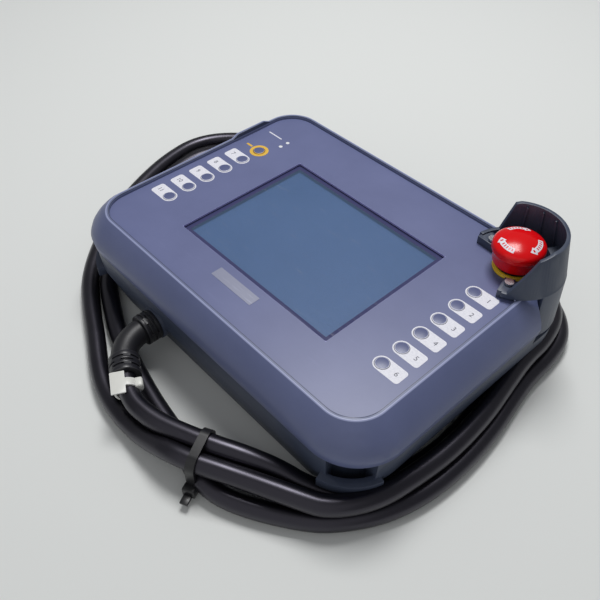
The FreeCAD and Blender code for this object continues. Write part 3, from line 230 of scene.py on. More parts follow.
def softened(node, material, edge, sharp=32):
    """A node's form with the mould's small radius on its edges, shown in place of the plain solid."""
    mesh, form = merged(node)
    bmesh.ops.dissolve_limit(form, angle_limit=math.radians(FLAT_WITHIN), verts=form.verts, edges=form.edges)
    for face in form.faces:
        face.material_index = 0
    form.to_mesh(mesh)
    form.free()
    # The second slot marks the faces of the new radius.
    mesh.materials.clear()
    mesh.materials.append(material)
    mesh.materials.append(material)
    sharp_piece = stood(node + "_sharp", mesh)
    bevel = sharp_piece.modifiers.new("edge_radius", "BEVEL")
    bevel.width = edge * MM
    bevel.segments = 2
    bevel.limit_method = "ANGLE"
    bevel.angle_limit = math.radians(sharp)
    bevel.material = 1
    done = settled(sharp_piece)
    bpy.data.objects.remove(sharp_piece)
    smoothed(done, sharp)
    # The faces of the new radius are kept as a mask for the paler edge paint, which is part wear and part
    # painted highlight.
    strips = done.attributes.new("wear_and_highlight_edge", "FLOAT", "FACE")
    for face, strip in zip(done.polygons, strips.data):
        strip.value = float(face.material_index)
        face.material_index = 0
    piece = placed(node + "_form", done, material, nodes[node]["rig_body"])
    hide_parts(node)
    return piece


rear_slate = moulded("rear_slate", (60, 68, 87), (68, 76, 95), smooth=0.4, rough=0.58, scuffs=0.08)
softened("rear_housing", rear_slate, edge=0.7)


# Seal and back screws: a soft black ring lies between the housings, and five cross-head screws
# close them from the back, each sunk in its tower.
def dressed(names, material):
    """Gives plain nodes, whose form is right, their finish."""
    for name in names:
        nodes[name].data.materials.clear()
        nodes[name].data.materials.append(material)


seal_rubber = moulded("seal_rubber", (22, 22, 23), (32, 32, 33), smooth=0.6, rough=0.8, scuffs=0.1)
dressed(["housing_seal", "window_seal", "estop_gasket"], seal_rubber)


def plated(name, dark, light, smooth, rough):
    """Turned or pressed metal with faint drawing lines."""
    material, tree, shader = plain_material(name, {"Metallic": 1.0})
    lines = cloudy(tree, stretched(tree, on_piece(tree), scale=(600.0, 9000.0, 600.0)), scale=1.0)
    tree.links.new(blended(tree, lines, tone(*dark), tone(*light)), shader.inputs["Base Color"])
    tree.links.new(ramped(tree, lines, 0.3, 0.7, smooth, rough), shader.inputs["Roughness"])
    return material


def grower(name, sizes):
    """A tree of geometry nodes that grows a form on points, with its sizes and finish as inputs."""
    tree = bpy.data.node_groups.new(name, "GeometryNodeTree")
    for label, kind in [("Geometry", "Geometry")] + sizes + [("Finish", "Material")]:
        tree.interface.new_socket(label, in_out="INPUT", socket_type="NodeSocket" + kind)
    tree.interface.new_socket("Geometry", in_out="OUTPUT", socket_type="NodeSocketGeometry")
    return tree, tree.nodes.new("NodeGroupInput").outputs


def triple(tree, x=0.0, y=0.0, z=0.0):
    """Three numbers as one vector in a tree."""
    return put(tree, "ShaderNodeCombineXYZ", feeds={"X": x, "Y": y, "Z": z}).outputs["Vector"]


def moved(tree, form, shift):
    """A form of a tree, moved."""
    feeds = {"Geometry": form, "Translation": shift}
    return put(tree, "GeometryNodeTransform", feeds=feeds).outputs["Geometry"]


def joined(tree, *forms):
    """Several forms of a tree as one."""
    whole = put(tree, "GeometryNodeJoinGeometry")
    for form in forms:
        tree.links.new(form, whole.inputs["Geometry"])
    return whole.outputs["Geometry"]


def set_on(tree, points, form, turn):
    """A form of a tree on each point, turned and made one plain mesh."""
    instances = put(tree, "GeometryNodeInstanceOnPoints", feeds={
        "Points": points, "Instance": form, "Rotation": turn}).outputs["Instances"]
    return put(tree, "GeometryNodeRealizeInstances", feeds={"Geometry": instances}).outputs["Geometry"]


def handed_out(tree, form, finish):
    """Ends a tree with a form in its finish."""
    finished = put(tree, "GeometryNodeSetMaterial", feeds={"Geometry": form, "Material": finish})
    tree.links.new(finished.outputs["Geometry"], tree.nodes.new("NodeGroupOutput").inputs["Geometry"])


def grown(name, points, tree, values):
    """The plain mesh that a tree of geometry nodes grows on some points."""
    mesh = bpy.data.meshes.new(name)
    mesh.from_pydata(points, [], [])
    seed = stood(name, mesh)
    modifier = seed.modifiers.new(name, "NODES")
    modifier.node_group = tree
    for item in tree.interface.items_tree:
        if item.item_type == "SOCKET" and item.in_out == "INPUT" and item.name in values:
            modifier[item.identifier] = values[item.name]
    made = settled(seed)
    bpy.data.objects.remove(seed)
    return made


# Each arm of the cross is this share of the head's radius long and wide.
CROSS_LONG, CROSS_WIDE = 1.2, 0.3
CROSS_TURN = 0.5
screw_steel = plated("screw_steel", (150, 152, 158), (205, 206, 210), smooth=0.22, rough=0.38)
screws, screws_in = grower("cross_head_screws", [
    ("Head Radius", "Float"), ("Head Height", "Float"), ("Shank Radius", "Float"),
    ("Shank Length", "Float"), ("Over", "Float")])
head = put(screws, "GeometryNodeMeshCylinder", feeds={
    "Vertices": 28, "Radius": screws_in["Head Radius"], "Depth": screws_in["Head Height"]}).outputs["Mesh"]
head_up = moved(screws, head, triple(screws, z=worked(screws, "DIVIDE", screws_in["Head Height"], 2.0)))
arms = []
for long, wide in ((CROSS_LONG, CROSS_WIDE), (CROSS_WIDE, CROSS_LONG)):
    arm_size = triple(screws, worked(screws, "MULTIPLY", screws_in["Head Radius"], long),
                      worked(screws, "MULTIPLY", screws_in["Head Radius"], wide), screws_in["Head Height"])
    arm = put(screws, "GeometryNodeMeshCube", feeds={"Size": arm_size}).outputs["Mesh"]
    arms.append(moved(screws, arm, triple(screws, z=screws_in["Head Height"])))
crossed = put(screws, "GeometryNodeMeshBoolean", {"operation": "DIFFERENCE"}, {
    "Mesh 1": head_up, "Mesh 2": joined(screws, *arms)}).outputs["Mesh"]
shank = put(screws, "GeometryNodeMeshCylinder", feeds={
    "Vertices": 20, "Radius": screws_in["Shank Radius"], "Depth": screws_in["Shank Length"]}).outputs["Mesh"]
shank_down = moved(screws, shank, triple(
    screws, z=worked(screws, "MULTIPLY", screws_in["Shank Length"], -0.5)))
driven = set_on(screws, screws_in["Geometry"], joined(screws, crossed, shank_down),
                triple(screws, x=screws_in["Over"], z=CROSS_TURN))
handed_out(screws, driven, screws_in["Finish"])


def screw_set(name, node, spots, head_radius, head_height, shank_radius, shank_length, over):
    """Cross-head screws at some spots, in place of the plain ones."""
    mesh = grown(name, [[number * MM for number in spot] for spot in spots], screws, {
        "Head Radius": head_radius * MM, "Head Height": head_height * MM, "Shank Radius": shank_radius * MM,
        "Shank Length": shank_length * MM, "Over": over, "Finish": screw_steel})
    piece = placed(name, mesh, screw_steel, "panel")
    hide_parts(node)


BACK_SCREWS = [(92, -66), (-92, -66), (-92, 66), (56, 75), (0, -76)]
BACK_HEAD_HEIGHT = 2.4
back_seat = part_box("housing_screws")[0].z / MM + BACK_HEAD_HEIGHT
screw_set("back_screws", "housing_screws", [(x, y, back_seat) for x, y in BACK_SCREWS],
          head_radius=3.0, head_height=BACK_HEAD_HEIGHT, shank_radius=1.6, shank_length=21.6, over=math.pi)


# Front housing: one moulding with the face plate, the raised lip round it and a rolled shoulder
# that flares to the joint with the rear. It is lighter than the rear and a little polished by hands.
def apart(tree):
    """The three numbers of a point's place on its piece."""
    return put(tree, "ShaderNodeSeparateXYZ", feeds={"Vector": on_piece(tree)}).outputs


def distance(tree, x, y):
    """How far a point lies from a middle, from its two distances along the axes."""
    squares = [worked(tree, "POWER", worked(tree, "ABSOLUTE", number), 2.0) for number in (x, y)]
    return worked(tree, "SQRT", worked(tree, "ADD", *squares))


def repaint(tree, mask, colour):
    """Lays a colour over a finish where a mask is on."""
    base = tree.nodes["Principled BSDF"].inputs["Base Color"]
    tree.links.new(blended(tree, mask, base.links[0].from_socket, colour), base)


front_slate = moulded("front_slate", (89, 97, 133), (97, 105, 142), smooth=0.36, rough=0.52, scuffs=0.08)

# The lip's lines, by their distance inside its outer edge. A bright line along the edge, partly polish wear
# and partly a painted highlight, and a dark line of painted shade where the gap inside the lip is shaded,
# each fade in between two distances, and the inner wall is painted pale from a third, as painted light that
# lifts its shade. The last three are heights: the foot of that wall, and where the lines of the lip's top
# fade in.
LIP_RADIUS, FILM_INSET = 20.0, 2.2
BRIGHT_FROM, BRIGHT_TO = 0.65, 0.45
GAP_SHADE_FROM, GAP_SHADE_TO = 1.4, 1.55
WALL_FROM = 1.7
WALL_FOOT, LIP_TOP_FROM, LIP_TOP_TO = 60.8, 61.55, 61.7
slate_tree = front_slate.node_tree
slate_at = apart(slate_tree)
film_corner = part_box("face_overlay")[1]
past_straight = []
for label, half_film in (("X", film_corner.x), ("Y", film_corner.y)):
    straight = half_film + (FILM_INSET - LIP_RADIUS) * MM
    past = worked(slate_tree, "SUBTRACT", worked(slate_tree, "ABSOLUTE", slate_at[label]), straight)
    past_straight.append(worked(slate_tree, "MAXIMUM", past, 0.0))
from_corner = distance(slate_tree, *past_straight)
# A bright line along the lip's outer edge: partly polish wear, partly a painted highlight.
wear_and_highlight_line = ramped(slate_tree, from_corner, (LIP_RADIUS - BRIGHT_FROM) * MM, (LIP_RADIUS - BRIGHT_TO) * MM)
# A dark line of painted shade on the lip's inner edge, where the gap inside the lip lies in shadow.
painted_gap_shade = ramped(slate_tree, from_corner, (LIP_RADIUS - GAP_SHADE_FROM) * MM, (LIP_RADIUS - GAP_SHADE_TO) * MM)
lip_with_gap_shade = blended(slate_tree, painted_gap_shade, tone(106, 114, 147), tone(58, 65, 88))
lip_colour = blended(slate_tree, wear_and_highlight_line, lip_with_gap_shade, tone(152, 159, 195))
# The inner wall of the lip is painted pale, as painted light that lifts the shade it lies in.
above_film = worked(slate_tree, "GREATER_THAN", slate_at["Z"], WALL_FOOT * MM)
inside_lip = worked(slate_tree, "LESS_THAN", from_corner, (LIP_RADIUS - WALL_FROM) * MM)
repaint(slate_tree, worked(slate_tree, "MULTIPLY", above_film, inside_lip), tone(112, 120, 154))
repaint(slate_tree, ramped(slate_tree, slate_at["Z"], LIP_TOP_FROM * MM, LIP_TOP_TO * MM), lip_colour)


def middle_of(node):
    """The middle of a node's box, in millimetres."""
    low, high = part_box(node)
    return (low + high) / 2 / MM


WINDOW_HALF_X, WINDOW_HALF_Y, CUT_EDGE = 61.0, 46.9, 0.1
window_y = middle_of("touch_panel").y


def off_window(tree, half_x, half_y):
    """A mask of what lies outside a rectangle round the window's middle."""
    at = apart(tree)
    off_x = worked(tree, "ABSOLUTE", at["X"])
    off_y = worked(tree, "ABSOLUTE", worked(tree, "SUBTRACT", at["Y"], window_y * MM))
    return worked(tree, "MAXIMUM", worked(tree, "GREATER_THAN", off_x, half_x * MM),
                  worked(tree, "GREATER_THAN", off_y, half_y * MM))


def pale_edge(tree):
    """Paints the cut edge of the window a pale violet, as painted light that lifts its shade, so that it
    doesn't read as a dark step.
    """
    outside = off_window(tree, WINDOW_HALF_X + CUT_EDGE, WINDOW_HALF_Y + CUT_EDGE)
    repaint(tree, worked(tree, "SUBTRACT", 1.0, outside), tone(150, 150, 205))


# The housing's window edge is painted pale, as painted light over its shade.
pale_edge(slate_tree)
softened("front_housing", front_slate, edge=0.35)

# Face film: a satin polyester overlay glued inside the lip, with the window and key openings cut out.
# All print lies on its top.
INK, PLATE_THICK = 0.06, 0.12
film_top = film_corner.z / MM
face_film = moulded("face_film", (97, 104, 144), (105, 112, 153), smooth=0.32, rough=0.46,
                    grain_scale=2600, depth=0.008, scuffs=0.08)
# The film's window edge gets the same painted light.
pale_edge(face_film.node_tree)
dressed(["face_overlay"], face_film)

# Key frames: white tongues printed on the film, one for each numbered key, round at the key and
# square towards the panel's side.
FRAME_LENGTH, FRAME_WIDTH, FRAME_BORE, FRAME_CORNER = 18.6, 9.7, 4.1, 1.9
# The round end stays a little short of a half circle, so that its two corners don't meet.
ROUND_END = 0.998
print_white, print_tree, print_shader = plain_material("printed_white", {"Roughness": 0.5})
print_cloud = cloudy(print_tree, on_piece(print_tree), scale=900.0, detail=3.0)
print_fleck = ramped(print_tree, print_cloud, 0.35, 0.65)
print_tree.links.new(blended(print_tree, print_fleck, tone(222, 222, 232), tone(234, 234, 242)),
                     print_shader.inputs["Base Color"])
frames, frames_in = grower("key_frames", [
    ("Length", "Float"), ("Width", "Float"), ("Bore", "Float"), ("Corner", "Float"), ("Turn", "Float"),
    ("Ink", "Float")])
half_length = worked(frames, "DIVIDE", frames_in["Length"], 2.0)
half_width = worked(frames, "DIVIDE", frames_in["Width"], 2.0)
tongue = put(frames, "GeometryNodeCurvePrimitiveQuadrilateral", {"mode": "RECTANGLE"}, {
    "Width": frames_in["Length"], "Height": frames_in["Width"]}).outputs["Curve"]
position = put(frames, "GeometryNodeInputPosition").outputs["Position"]
along_x = put(frames, "ShaderNodeSeparateXYZ", feeds={"Vector": position}).outputs["X"]
rounding = put(frames, "ShaderNodeMix", {"data_type": "FLOAT"}, {
    0: worked(frames, "LESS_THAN", along_x, 0.0), 2: frames_in["Corner"],
    3: worked(frames, "MULTIPLY", half_width, ROUND_END)}).outputs[0]
rounded = put(frames, "GeometryNodeFilletCurve", {"mode": "POLY"}, {
    "Curve": tongue, "Radius": rounding, "Count": 14}).outputs["Curve"]
moved_out = moved(frames, rounded, triple(frames, x=worked(frames, "SUBTRACT", half_length, half_width)))
key_hole = put(frames, "GeometryNodeCurvePrimitiveCircle", {"mode": "RADIUS"}, {
    "Resolution": 40, "Radius": frames_in["Bore"]}).outputs["Curve"]
inked = put(frames, "GeometryNodeFillCurve", {"mode": "TRIANGLES"}, {
    "Curve": joined(frames, moved_out, key_hole)}).outputs["Mesh"]
thickened = put(frames, "GeometryNodeExtrudeMesh", {"mode": "FACES"}, {
    "Mesh": inked, "Offset Scale": frames_in["Ink"], "Individual": False}).outputs["Mesh"]
underside = put(frames, "GeometryNodeFlipFaces", feeds={"Mesh": inked}).outputs["Mesh"]
closed = put(frames, "GeometryNodeMergeByDistance", feeds={
    "Geometry": joined(frames, thickened, underside), "Distance": JOIN_WITHIN * MM}).outputs["Geometry"]
handed_out(frames, set_on(frames, frames_in["Geometry"], closed, triple(frames, z=frames_in["Turn"])),
           frames_in["Finish"])

right_rows = [middle_of("key_%d" % number).y for number in range(1, 7)]
left_rows = [middle_of("key_%d" % number).y for number in range(7, 12)]
key_x = (middle_of("key_1").x - middle_of("key_7").x) / 2
for side, x, rows, turn in (("right", key_x, right_rows, 0.0), ("left", -key_x, left_rows, math.pi)):
    frame_mesh = grown("key_frames_" + side, [(x * MM, y * MM, film_top * MM) for y in rows], frames, {
        "Length": FRAME_LENGTH * MM, "Width": FRAME_WIDTH * MM, "Bore": FRAME_BORE * MM,
        "Corner": FRAME_CORNER * MM, "Turn": turn, "Ink": INK * MM, "Finish": print_white})
    placed("key_frames_" + side, frame_mesh, print_white, "panel")


# Key numbers: plain figures in grey ink, printed over the white of the frames, counting down the
# right side and then down the left.
def meshed(form, name):
    """The mesh of a form, which is then let go."""
    mesh = bpy.data.meshes.new(name)
    form.to_mesh(mesh)
    form.free()
    return mesh


FIGURE_X, FIGURE_SIZE = 99.2, 4.4
FIGURE_LIFT, FIGURE_HALF_THICK = 0.07, 0.02
grey_ink, ink_tree, ink_shader = plain_material("grey_ink", {"Roughness": 0.55})
ink_fleck = cloudy(ink_tree, on_piece(ink_tree), scale=2500.0)
ink_tree.links.new(blended(ink_tree, ink_fleck, tone(84, 86, 100), tone(106, 108, 122)),
                   ink_shader.inputs["Base Color"])
figures = bmesh.new()
figure_spots = [(FIGURE_X, y) for y in right_rows] + [(-FIGURE_X, y) for y in left_rows]
for number, (x, y) in enumerate(figure_spots, 1):
    text = bpy.data.curves.new("figure", "FONT")
    text.body = str(number)
    text.size = FIGURE_SIZE * MM
    text.align_x = "CENTER"
    text.align_y = "CENTER"
    text.extrude = FIGURE_HALF_THICK * MM
    text.resolution_u = 3
    drawn = stood("figure", text)
    figure = settled(drawn)
    bpy.data.objects.remove(drawn)
    figure.transform(Matrix.Translation((x * MM, y * MM, (film_top + FIGURE_LIFT) * MM)))
    figures.from_mesh(figure)
placed("key_figures", meshed(figures, "key_figures"), grey_ink, "panel")


# Other print on the film: a yellow ring and a short yellow bar at the operate key, and a white bar
# beside the status lights. A thin pale plate is glued on under the window.
def inked_shape(name, outline, material, hole=(), thick=INK):
    """A flat printed shape, closed on all sides, with or without a hole through it."""
    shape = bmesh.new()
    loops = []
    for points, turn in ((outline, 1), (hole, -1)):
        if points:
            rows = [[shape.verts.new((x * MM, y * MM, z * MM)) for x, y in points[::turn]]
                    for z in (film_top, film_top + thick)]
            count = len(points)
            for i in range(count):
                j = (i + 1) % count
                shape.faces.new((rows[0][i], rows[0][j], rows[1][j], rows[1][i]))
            loops.append(rows)
    for level, up in ((0, False), (1, True)):
        if hole:
            outer, inner = loops[0][level], loops[1][level][::-1]
            for i in range(len(outer)):
                j = (i + 1) % len(outer)
                ring = (outer[i], outer[j], inner[j], inner[i])
                shape.faces.new(ring if up else ring[::-1])
        else:
            shape.faces.new(loops[0][level] if up else loops[0][level][::-1])
    return placed(name, meshed(shape, name), material, "panel")


def round_line(x, y, radius, count=64):
    """Points round a circle."""
    turns = [2 * math.pi * i / count for i in range(count)]
    return [(x + radius * math.cos(turn), y + radius * math.sin(turn)) for turn in turns]


def bar_line(x, y, width, depth, corner, count=6):
    """Points round a rectangle with round corners."""
    points = []
    for sx, sy, start in ((1, -1, -90), (1, 1, 0), (-1, 1, 90), (-1, -1, 180)):
        for step in range(count + 1):
            a = math.radians(start + 90 * step / count)
            points.append((x + sx * (width / 2 - corner) + corner * math.cos(a),
                           y + sy * (depth / 2 - corner) + corner * math.sin(a)))
    return points


RING_RADIUS, RING_BORE = 6.3, 4.15
ring_yellow = moulded("ring_yellow", (214, 168, 52), (232, 188, 70), smooth=0.4, rough=0.55, scuffs=0.1)
operate_y = middle_of("key_operate").y
inked_shape("operate_ring", round_line(-key_x, operate_y, RING_RADIUS), ring_yellow,
            hole=round_line(-key_x, operate_y, RING_BORE))
inked_shape("operate_bar", bar_line(-99.6, operate_y, width=5.4, depth=1.5, corner=0.7), ring_yellow)
inked_shape("status_bar", bar_line(-96.2, 51.5, width=12.6, depth=0.9, corner=0.4), print_white)
bare_plate = moulded("bare_plate", (134, 137, 160), (150, 153, 174), smooth=0.3, rough=0.45,
                     grain_scale=2600, depth=0.01, scuffs=0.5)
inked_shape("blank_plate", bar_line(-0.9, -60.5, width=33, depth=7.3, corner=0.5), bare_plate,
            thick=PLATE_THICK)

# Push keys: domes embossed in the film's own colour, slightly proud in their openings. The print of
# the frames and of the yellow ring goes on over their rims. Their rows lie half a pitch, and then
# whole pitches, from the window's middle.
RIM_FROM, RIM_TO = 3.44, 3.52
key_pitch = right_rows[0] - right_rows[1]


def key_top(name, rim_colour):
    """Satin key film whose printed ring goes on over the rim of the key."""
    material = moulded(name, (84, 91, 130), (93, 100, 140), smooth=0.3, rough=0.45,
                       grain_scale=2600, depth=0.008, scuffs=0.1)
    tree = material.node_tree
    at = apart(tree)
    off_x = worked(tree, "SUBTRACT", worked(tree, "ABSOLUTE", at["X"]), key_x * MM)
    rows = worked(tree, "DIVIDE", worked(tree, "SUBTRACT", at["Y"], window_y * MM), key_pitch * MM)
    off_row = worked(tree, "SUBTRACT", worked(tree, "FRACT", rows), 0.5)
    off_y = worked(tree, "MULTIPLY", off_row, key_pitch * MM)
    repaint(tree, ramped(tree, distance(tree, off_x, off_y), RIM_FROM * MM, RIM_TO * MM), rim_colour)
    return material


key_film = key_top("key_film", tone(222, 222, 232))
operate_film = key_top("operate_film", tone(214, 168, 52))
for number in range(1, 12):
    softened("key_%d" % number, key_film, edge=0.3)
softened("key_operate", operate_film, edge=0.3)

# Status lights: two small white diffusers, moulded in milky plastic and pressed through the film,
# beside the short white bar.
lens_white = moulded("lens_white", (226, 228, 232), (240, 241, 244), smooth=0.2, rough=0.3, scuffs=0.05)
softened("status_lenses", lens_white, edge=0.2)

# Display: an unlit grey-blue module behind the window. A dark mask runs along the module's edge, a
# little outside the area that lights up.
MASK_HALF_X, MASK_HALF_Y = 60.4, 46.2
display, display_tree, display_shader = plain_material("display_face", {"Coat Weight": 0.2})
cloud = cloudy(display_tree, on_piece(display_tree), scale=9.0, detail=3.0)
pane = blended(display_tree, ramped(display_tree, cloud, 0.3, 0.7), tone(70, 106, 158), tone(86, 122, 176))
masked = off_window(display_tree, MASK_HALF_X, MASK_HALF_Y)
display_tree.links.new(blended(display_tree, masked, pane, tone(58, 58, 92)),
                       display_shader.inputs["Base Color"])
display_tree.links.new(ramped(display_tree, cloud, 0.3, 0.7, bottom=0.35, top=0.5),
                       display_shader.inputs["Roughness"])
dressed(["lcd_module"], display)

# Touch pane: a clear hard-coated film on glass, printed with a dark border round the view, with the
# fine hairlines that fingertips leave.
BORDER_HALF_X, BORDER_HALF_Y = 57.8, 43.7
touch_glass, touch_tree, touch_shader = plain_material("touch_glass", {
    "IOR": 1.45, "Specular IOR Level": 0.6})
hair_way = stretched(touch_tree, on_piece(touch_tree), scale=(60.0, 2400.0, 60.0), rotation=(0.0, 0.0, 0.7))
hairs = cloudy(touch_tree, hair_way, scale=1.0, detail=1.0)
clear = blended(touch_tree, ramped(touch_tree, hairs, 0.74, 0.8), tone(124, 152, 192), tone(216, 224, 236))
border = off_window(touch_tree, BORDER_HALF_X, BORDER_HALF_Y)
touch_tree.links.new(blended(touch_tree, border, clear, tone(66, 68, 106)), touch_shader.inputs["Base Color"])
touch_tree.links.new(ramped(touch_tree, border, 0.0, 1.0, bottom=0.28, top=1.0),
                     touch_shader.inputs["Alpha"])
touch_tree.links.new(ramped(touch_tree, hairs, 0.4, 0.8, bottom=0.06, top=0.3),
                     touch_shader.inputs["Roughness"])
dressed(["touch_panel"], touch_glass)

# Inside the housings: a pressed bracket over the display, green boards on brass standoffs, and
# black switches under the keys. They are seen only with the housings apart.
sheet_steel = plated("sheet_steel", (150, 152, 156), (196, 198, 202), smooth=0.3, rough=0.45)
dressed(["lcd_bracket"], sheet_steel)
dressed(["board_screws", "bracket_screws", "key_board_screws"], screw_steel)
standoff_brass = plated("standoff_brass", (176, 140, 70), (214, 180, 104), smooth=0.25, rough=0.4)
dressed(["board_standoffs"], standoff_brass)
board_green, board_tree, board_shader = plain_material("board_green", {"Coat Weight": 0.4})
tracks = put(board_tree, "ShaderNodeTexBrick", feeds={
    "Vector": on_piece(board_tree), "Scale": 160.0, "Color1": tone(14, 78, 42), "Color2": tone(20, 92, 52),
    "Mortar": tone(40, 120, 74), "Mortar Size": 0.03})
board_tree.links.new(tracks.outputs["Color"], board_shader.inputs["Base Color"])
board_tree.links.new(ramped(board_tree, tracks.outputs["Fac"], 0.0, 1.0, bottom=0.3, top=0.42),
                     board_shader.inputs["Roughness"])
dressed(["main_board", "key_board_left", "key_board_right"], board_green)
switch_black = moulded("switch_black", (24, 24, 26), (34, 34, 36), smooth=0.4, rough=0.55, scuffs=0.0)
dressed(["key_switches"], switch_black)

# Emergency stop: a black barrel through the face with a yellow collar, a nut and contact block
# below, a sprung stem, and a red mushroom head that turns to release.
stop_black = moulded("stop_black", (22, 22, 24), (32, 32, 35), smooth=0.38, rough=0.55, scuffs=0.1)
dressed(["estop_body", "estop_contacts", "estop_locknut", "estop_stem"], stop_black)
STOP_X, STOP_Y, STOP_TRAVEL = 92.0, 63.2, 2.5
spring_steel = plated("spring_steel", (140, 142, 148), (190, 192, 198), smooth=0.25, rough=0.4)
spring_mesh, spring_form = merged("estop_spring")
spring_form.to_mesh(spring_mesh)
spring_form.free()
spring_mesh.shade_smooth()
spring = placed("sprung_wire", spring_mesh, spring_steel, "panel")
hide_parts("estop_spring")
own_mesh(spring)
stop_yellow = moulded("stop_yellow", (224, 172, 18), (240, 190, 30), smooth=0.3, rough=0.45, scuffs=0.25)
softened("estop_collar", stop_yellow, edge=0.3)
CAP_PROFILE = [
    (0, 76.05), (4.55, 76.05), (4.55, 71), (9, 71), (9, 66.1), (9.3, 65.8), (12.6, 65.8), (12.9, 66.1),
    (13.25, 69.4), (13.6, 72.6), (13.9, 73.1), (14.4, 73.4), (14.62, 73.8), (14.65, 74.6), (14.62, 75.1),
    (14.42, 75.25), (14.42, 75.45), (14.6, 75.6), (14.58, 76.3), (14.4, 77.0), (14.0, 77.7), (13.4, 78.3),
    (12.5, 78.9), (11.2, 79.55), (9.5, 80.2), (7.5, 80.75), (5.0, 81.25), (2.5, 81.52), (0, 81.6)]
DOME_FOOT = 76.2


def lathed(name, profile, x, y, count=96):
    """A closed mesh turned about an upright axis from a profile that starts and ends on it."""
    form = bmesh.new()
    rings = []
    for radius, z in profile:
        around = round_line(x, y, radius, count) if radius else [(x, y)]
        rings.append([form.verts.new((px * MM, py * MM, z * MM)) for px, py in around])
    for low, high in zip(rings, rings[1:]):
        for i in range(count):
            j = (i + 1) % count
            corners = [low[i % len(low)], low[j % len(low)], high[j % len(high)], high[i % len(high)]]
            form.faces.new(list(dict.fromkeys(corners)))
    bmesh.ops.recalc_face_normals(form, faces=form.faces)
    mesh = meshed(form, name)
    smoothed(mesh, sharp=38)
    return mesh


stop_red = moulded("stop_red", (222, 6, 14), (232, 11, 20), smooth=0.16, rough=0.26, grain_scale=1200,
                   depth=0.004, scuffs=0.06, values={"Specular IOR Level": 0.35})
cap_mesh = lathed("stop_head", CAP_PROFILE, STOP_X, STOP_Y)
cap_head = placed("stop_head", cap_mesh, stop_red, "estop_cap")
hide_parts("estop_cap")


# Turn arrows: three curved white arrows printed on the head, showing which way it releases, each
# with a row of plain marks in the head's own red.
def dome_height(radius):
    """Height of the head's top at a radius."""
    dome = [point for point in CAP_PROFILE if point[1] > DOME_FOOT]
    for (outer, low), (inner, high) in zip(dome, dome[1:]):
        if inner <= radius <= outer:
            return low + (high - low) * (outer - radius) / (outer - inner)
    return dome[0][1]


ARROW_RADIUS, ARROW_REACH, ARROW_STEPS = 10.3, 36, 26
ARROW_HALF, POINT_HALF, POINT_FROM, TIP_HALF = 1.4, 2.4, 0.76, 0.02
ARROW_MIDDLES = (250, 10, 130)
MARK_HALF, MARK_LOW, MARK_HIGH, MARK_STEPS = 0.75, 0.05, 0.09, 3
MARK_SPOTS = ((31, 27), (22, 18), (13, 9), (4, 0), (-5, -9), (-20, -25))


def on_dome(name, stretches, low, high, material):
    """Closed bands of ink that follow the dome, each from one angle to another with a half width."""
    ink = bmesh.new()
    for start, stop, half_width, steps in stretches:
        rows = []
        for step in range(steps + 1):
            angle = math.radians(start + (stop - start) * step / steps)
            half = half_width(step / steps)
            row = []
            for side in range(5):
                radius = ARROW_RADIUS + half * (side / 2 - 1)
                x, y = STOP_X + radius * math.cos(angle), STOP_Y + radius * math.sin(angle)
                row.append([ink.verts.new((x * MM, y * MM, (dome_height(radius) + lift) * MM))
                            for lift in (low, high)])
            rows.append(row)
        for first, second in zip(rows, rows[1:]):
            for side in range(4):
                for level in (0, 1):
                    ink.faces.new((first[side][level], first[side + 1][level], second[side + 1][level],
                                   second[side][level]))
            for side in (0, 4):
                ink.faces.new((first[side][0], second[side][0], second[side][1], first[side][1]))
        for row in (rows[0], rows[-1]):
            for side in range(4):
                ink.faces.new((row[side][0], row[side + 1][0], row[side + 1][1], row[side][1]))
    bmesh.ops.recalc_face_normals(ink, faces=ink.faces)
    return placed(name, meshed(ink, name), material, "estop_cap")


def arrow_half(along):
    """Half the arrow's width along its length: a straight shaft, and a point that tapers off."""
    if along < POINT_FROM:
        return ARROW_HALF
    return POINT_HALF * (1 - along) / (1 - POINT_FROM) + TIP_HALF


def mark_half(along):
    """Half the width of a mark, the same all along."""
    return MARK_HALF


arrows = [(middle + ARROW_REACH, middle - ARROW_REACH, arrow_half, ARROW_STEPS) for middle in ARROW_MIDDLES]
on_dome("turn_arrows", arrows, 0.0, INK, print_white)
arrow_marks = [(middle + start, middle + stop, mark_half, MARK_STEPS)
               for middle in ARROW_MIDDLES for start, stop in MARK_SPOTS]
on_dome("arrow_marks", arrow_marks, MARK_LOW, MARK_HIGH, stop_red)

# Guard: a shroud round the stop, open towards the display, moulded with ribs inside and
# fixed by two bright screws through its feet.
FOOT_CIRCLE, FOOT_ANGLES, FOOT_HEAD_HEIGHT = 19.5, (-64, 166), 1.6
guard_slate = moulded("guard_slate", (58, 66, 84), (68, 77, 97), smooth=0.38, rough=0.55, scuffs=0.25)
softened("estop_guard", guard_slate, edge=0.55)
foot_low, foot_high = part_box("guard_screws")
foot_seat = foot_high.z / MM - FOOT_HEAD_HEIGHT
foot_spots = []
for angle in FOOT_ANGLES:
    turned = math.radians(angle)
    foot_spots.append((STOP_X + FOOT_CIRCLE * math.cos(turned), STOP_Y + FOOT_CIRCLE * math.sin(turned),
                       foot_seat))
screw_set("guard_foot_screws", "guard_screws", foot_spots, head_radius=2.5, head_height=FOOT_HEAD_HEIGHT,
          shank_radius=1.5, shank_length=foot_seat - foot_low.z / MM, over=0.0)

# Cable outlet: a ribbed gland collar on the housing's boss, a bent rubber boot and a second
# ribbed collar that grips the cable.
gland_black = moulded("gland_black", (26, 26, 30), (38, 38, 44), smooth=0.32, rough=0.48, scuffs=0.2)
softened("gland_collar", gland_black, edge=0.25)
softened("boot_collar", gland_black, edge=0.25)
boot_rubber = moulded("boot_rubber", (24, 24, 28), (34, 34, 39), smooth=0.42, rough=0.56, scuffs=0.2)
softened("cable_boot", boot_rubber, edge=0.2)

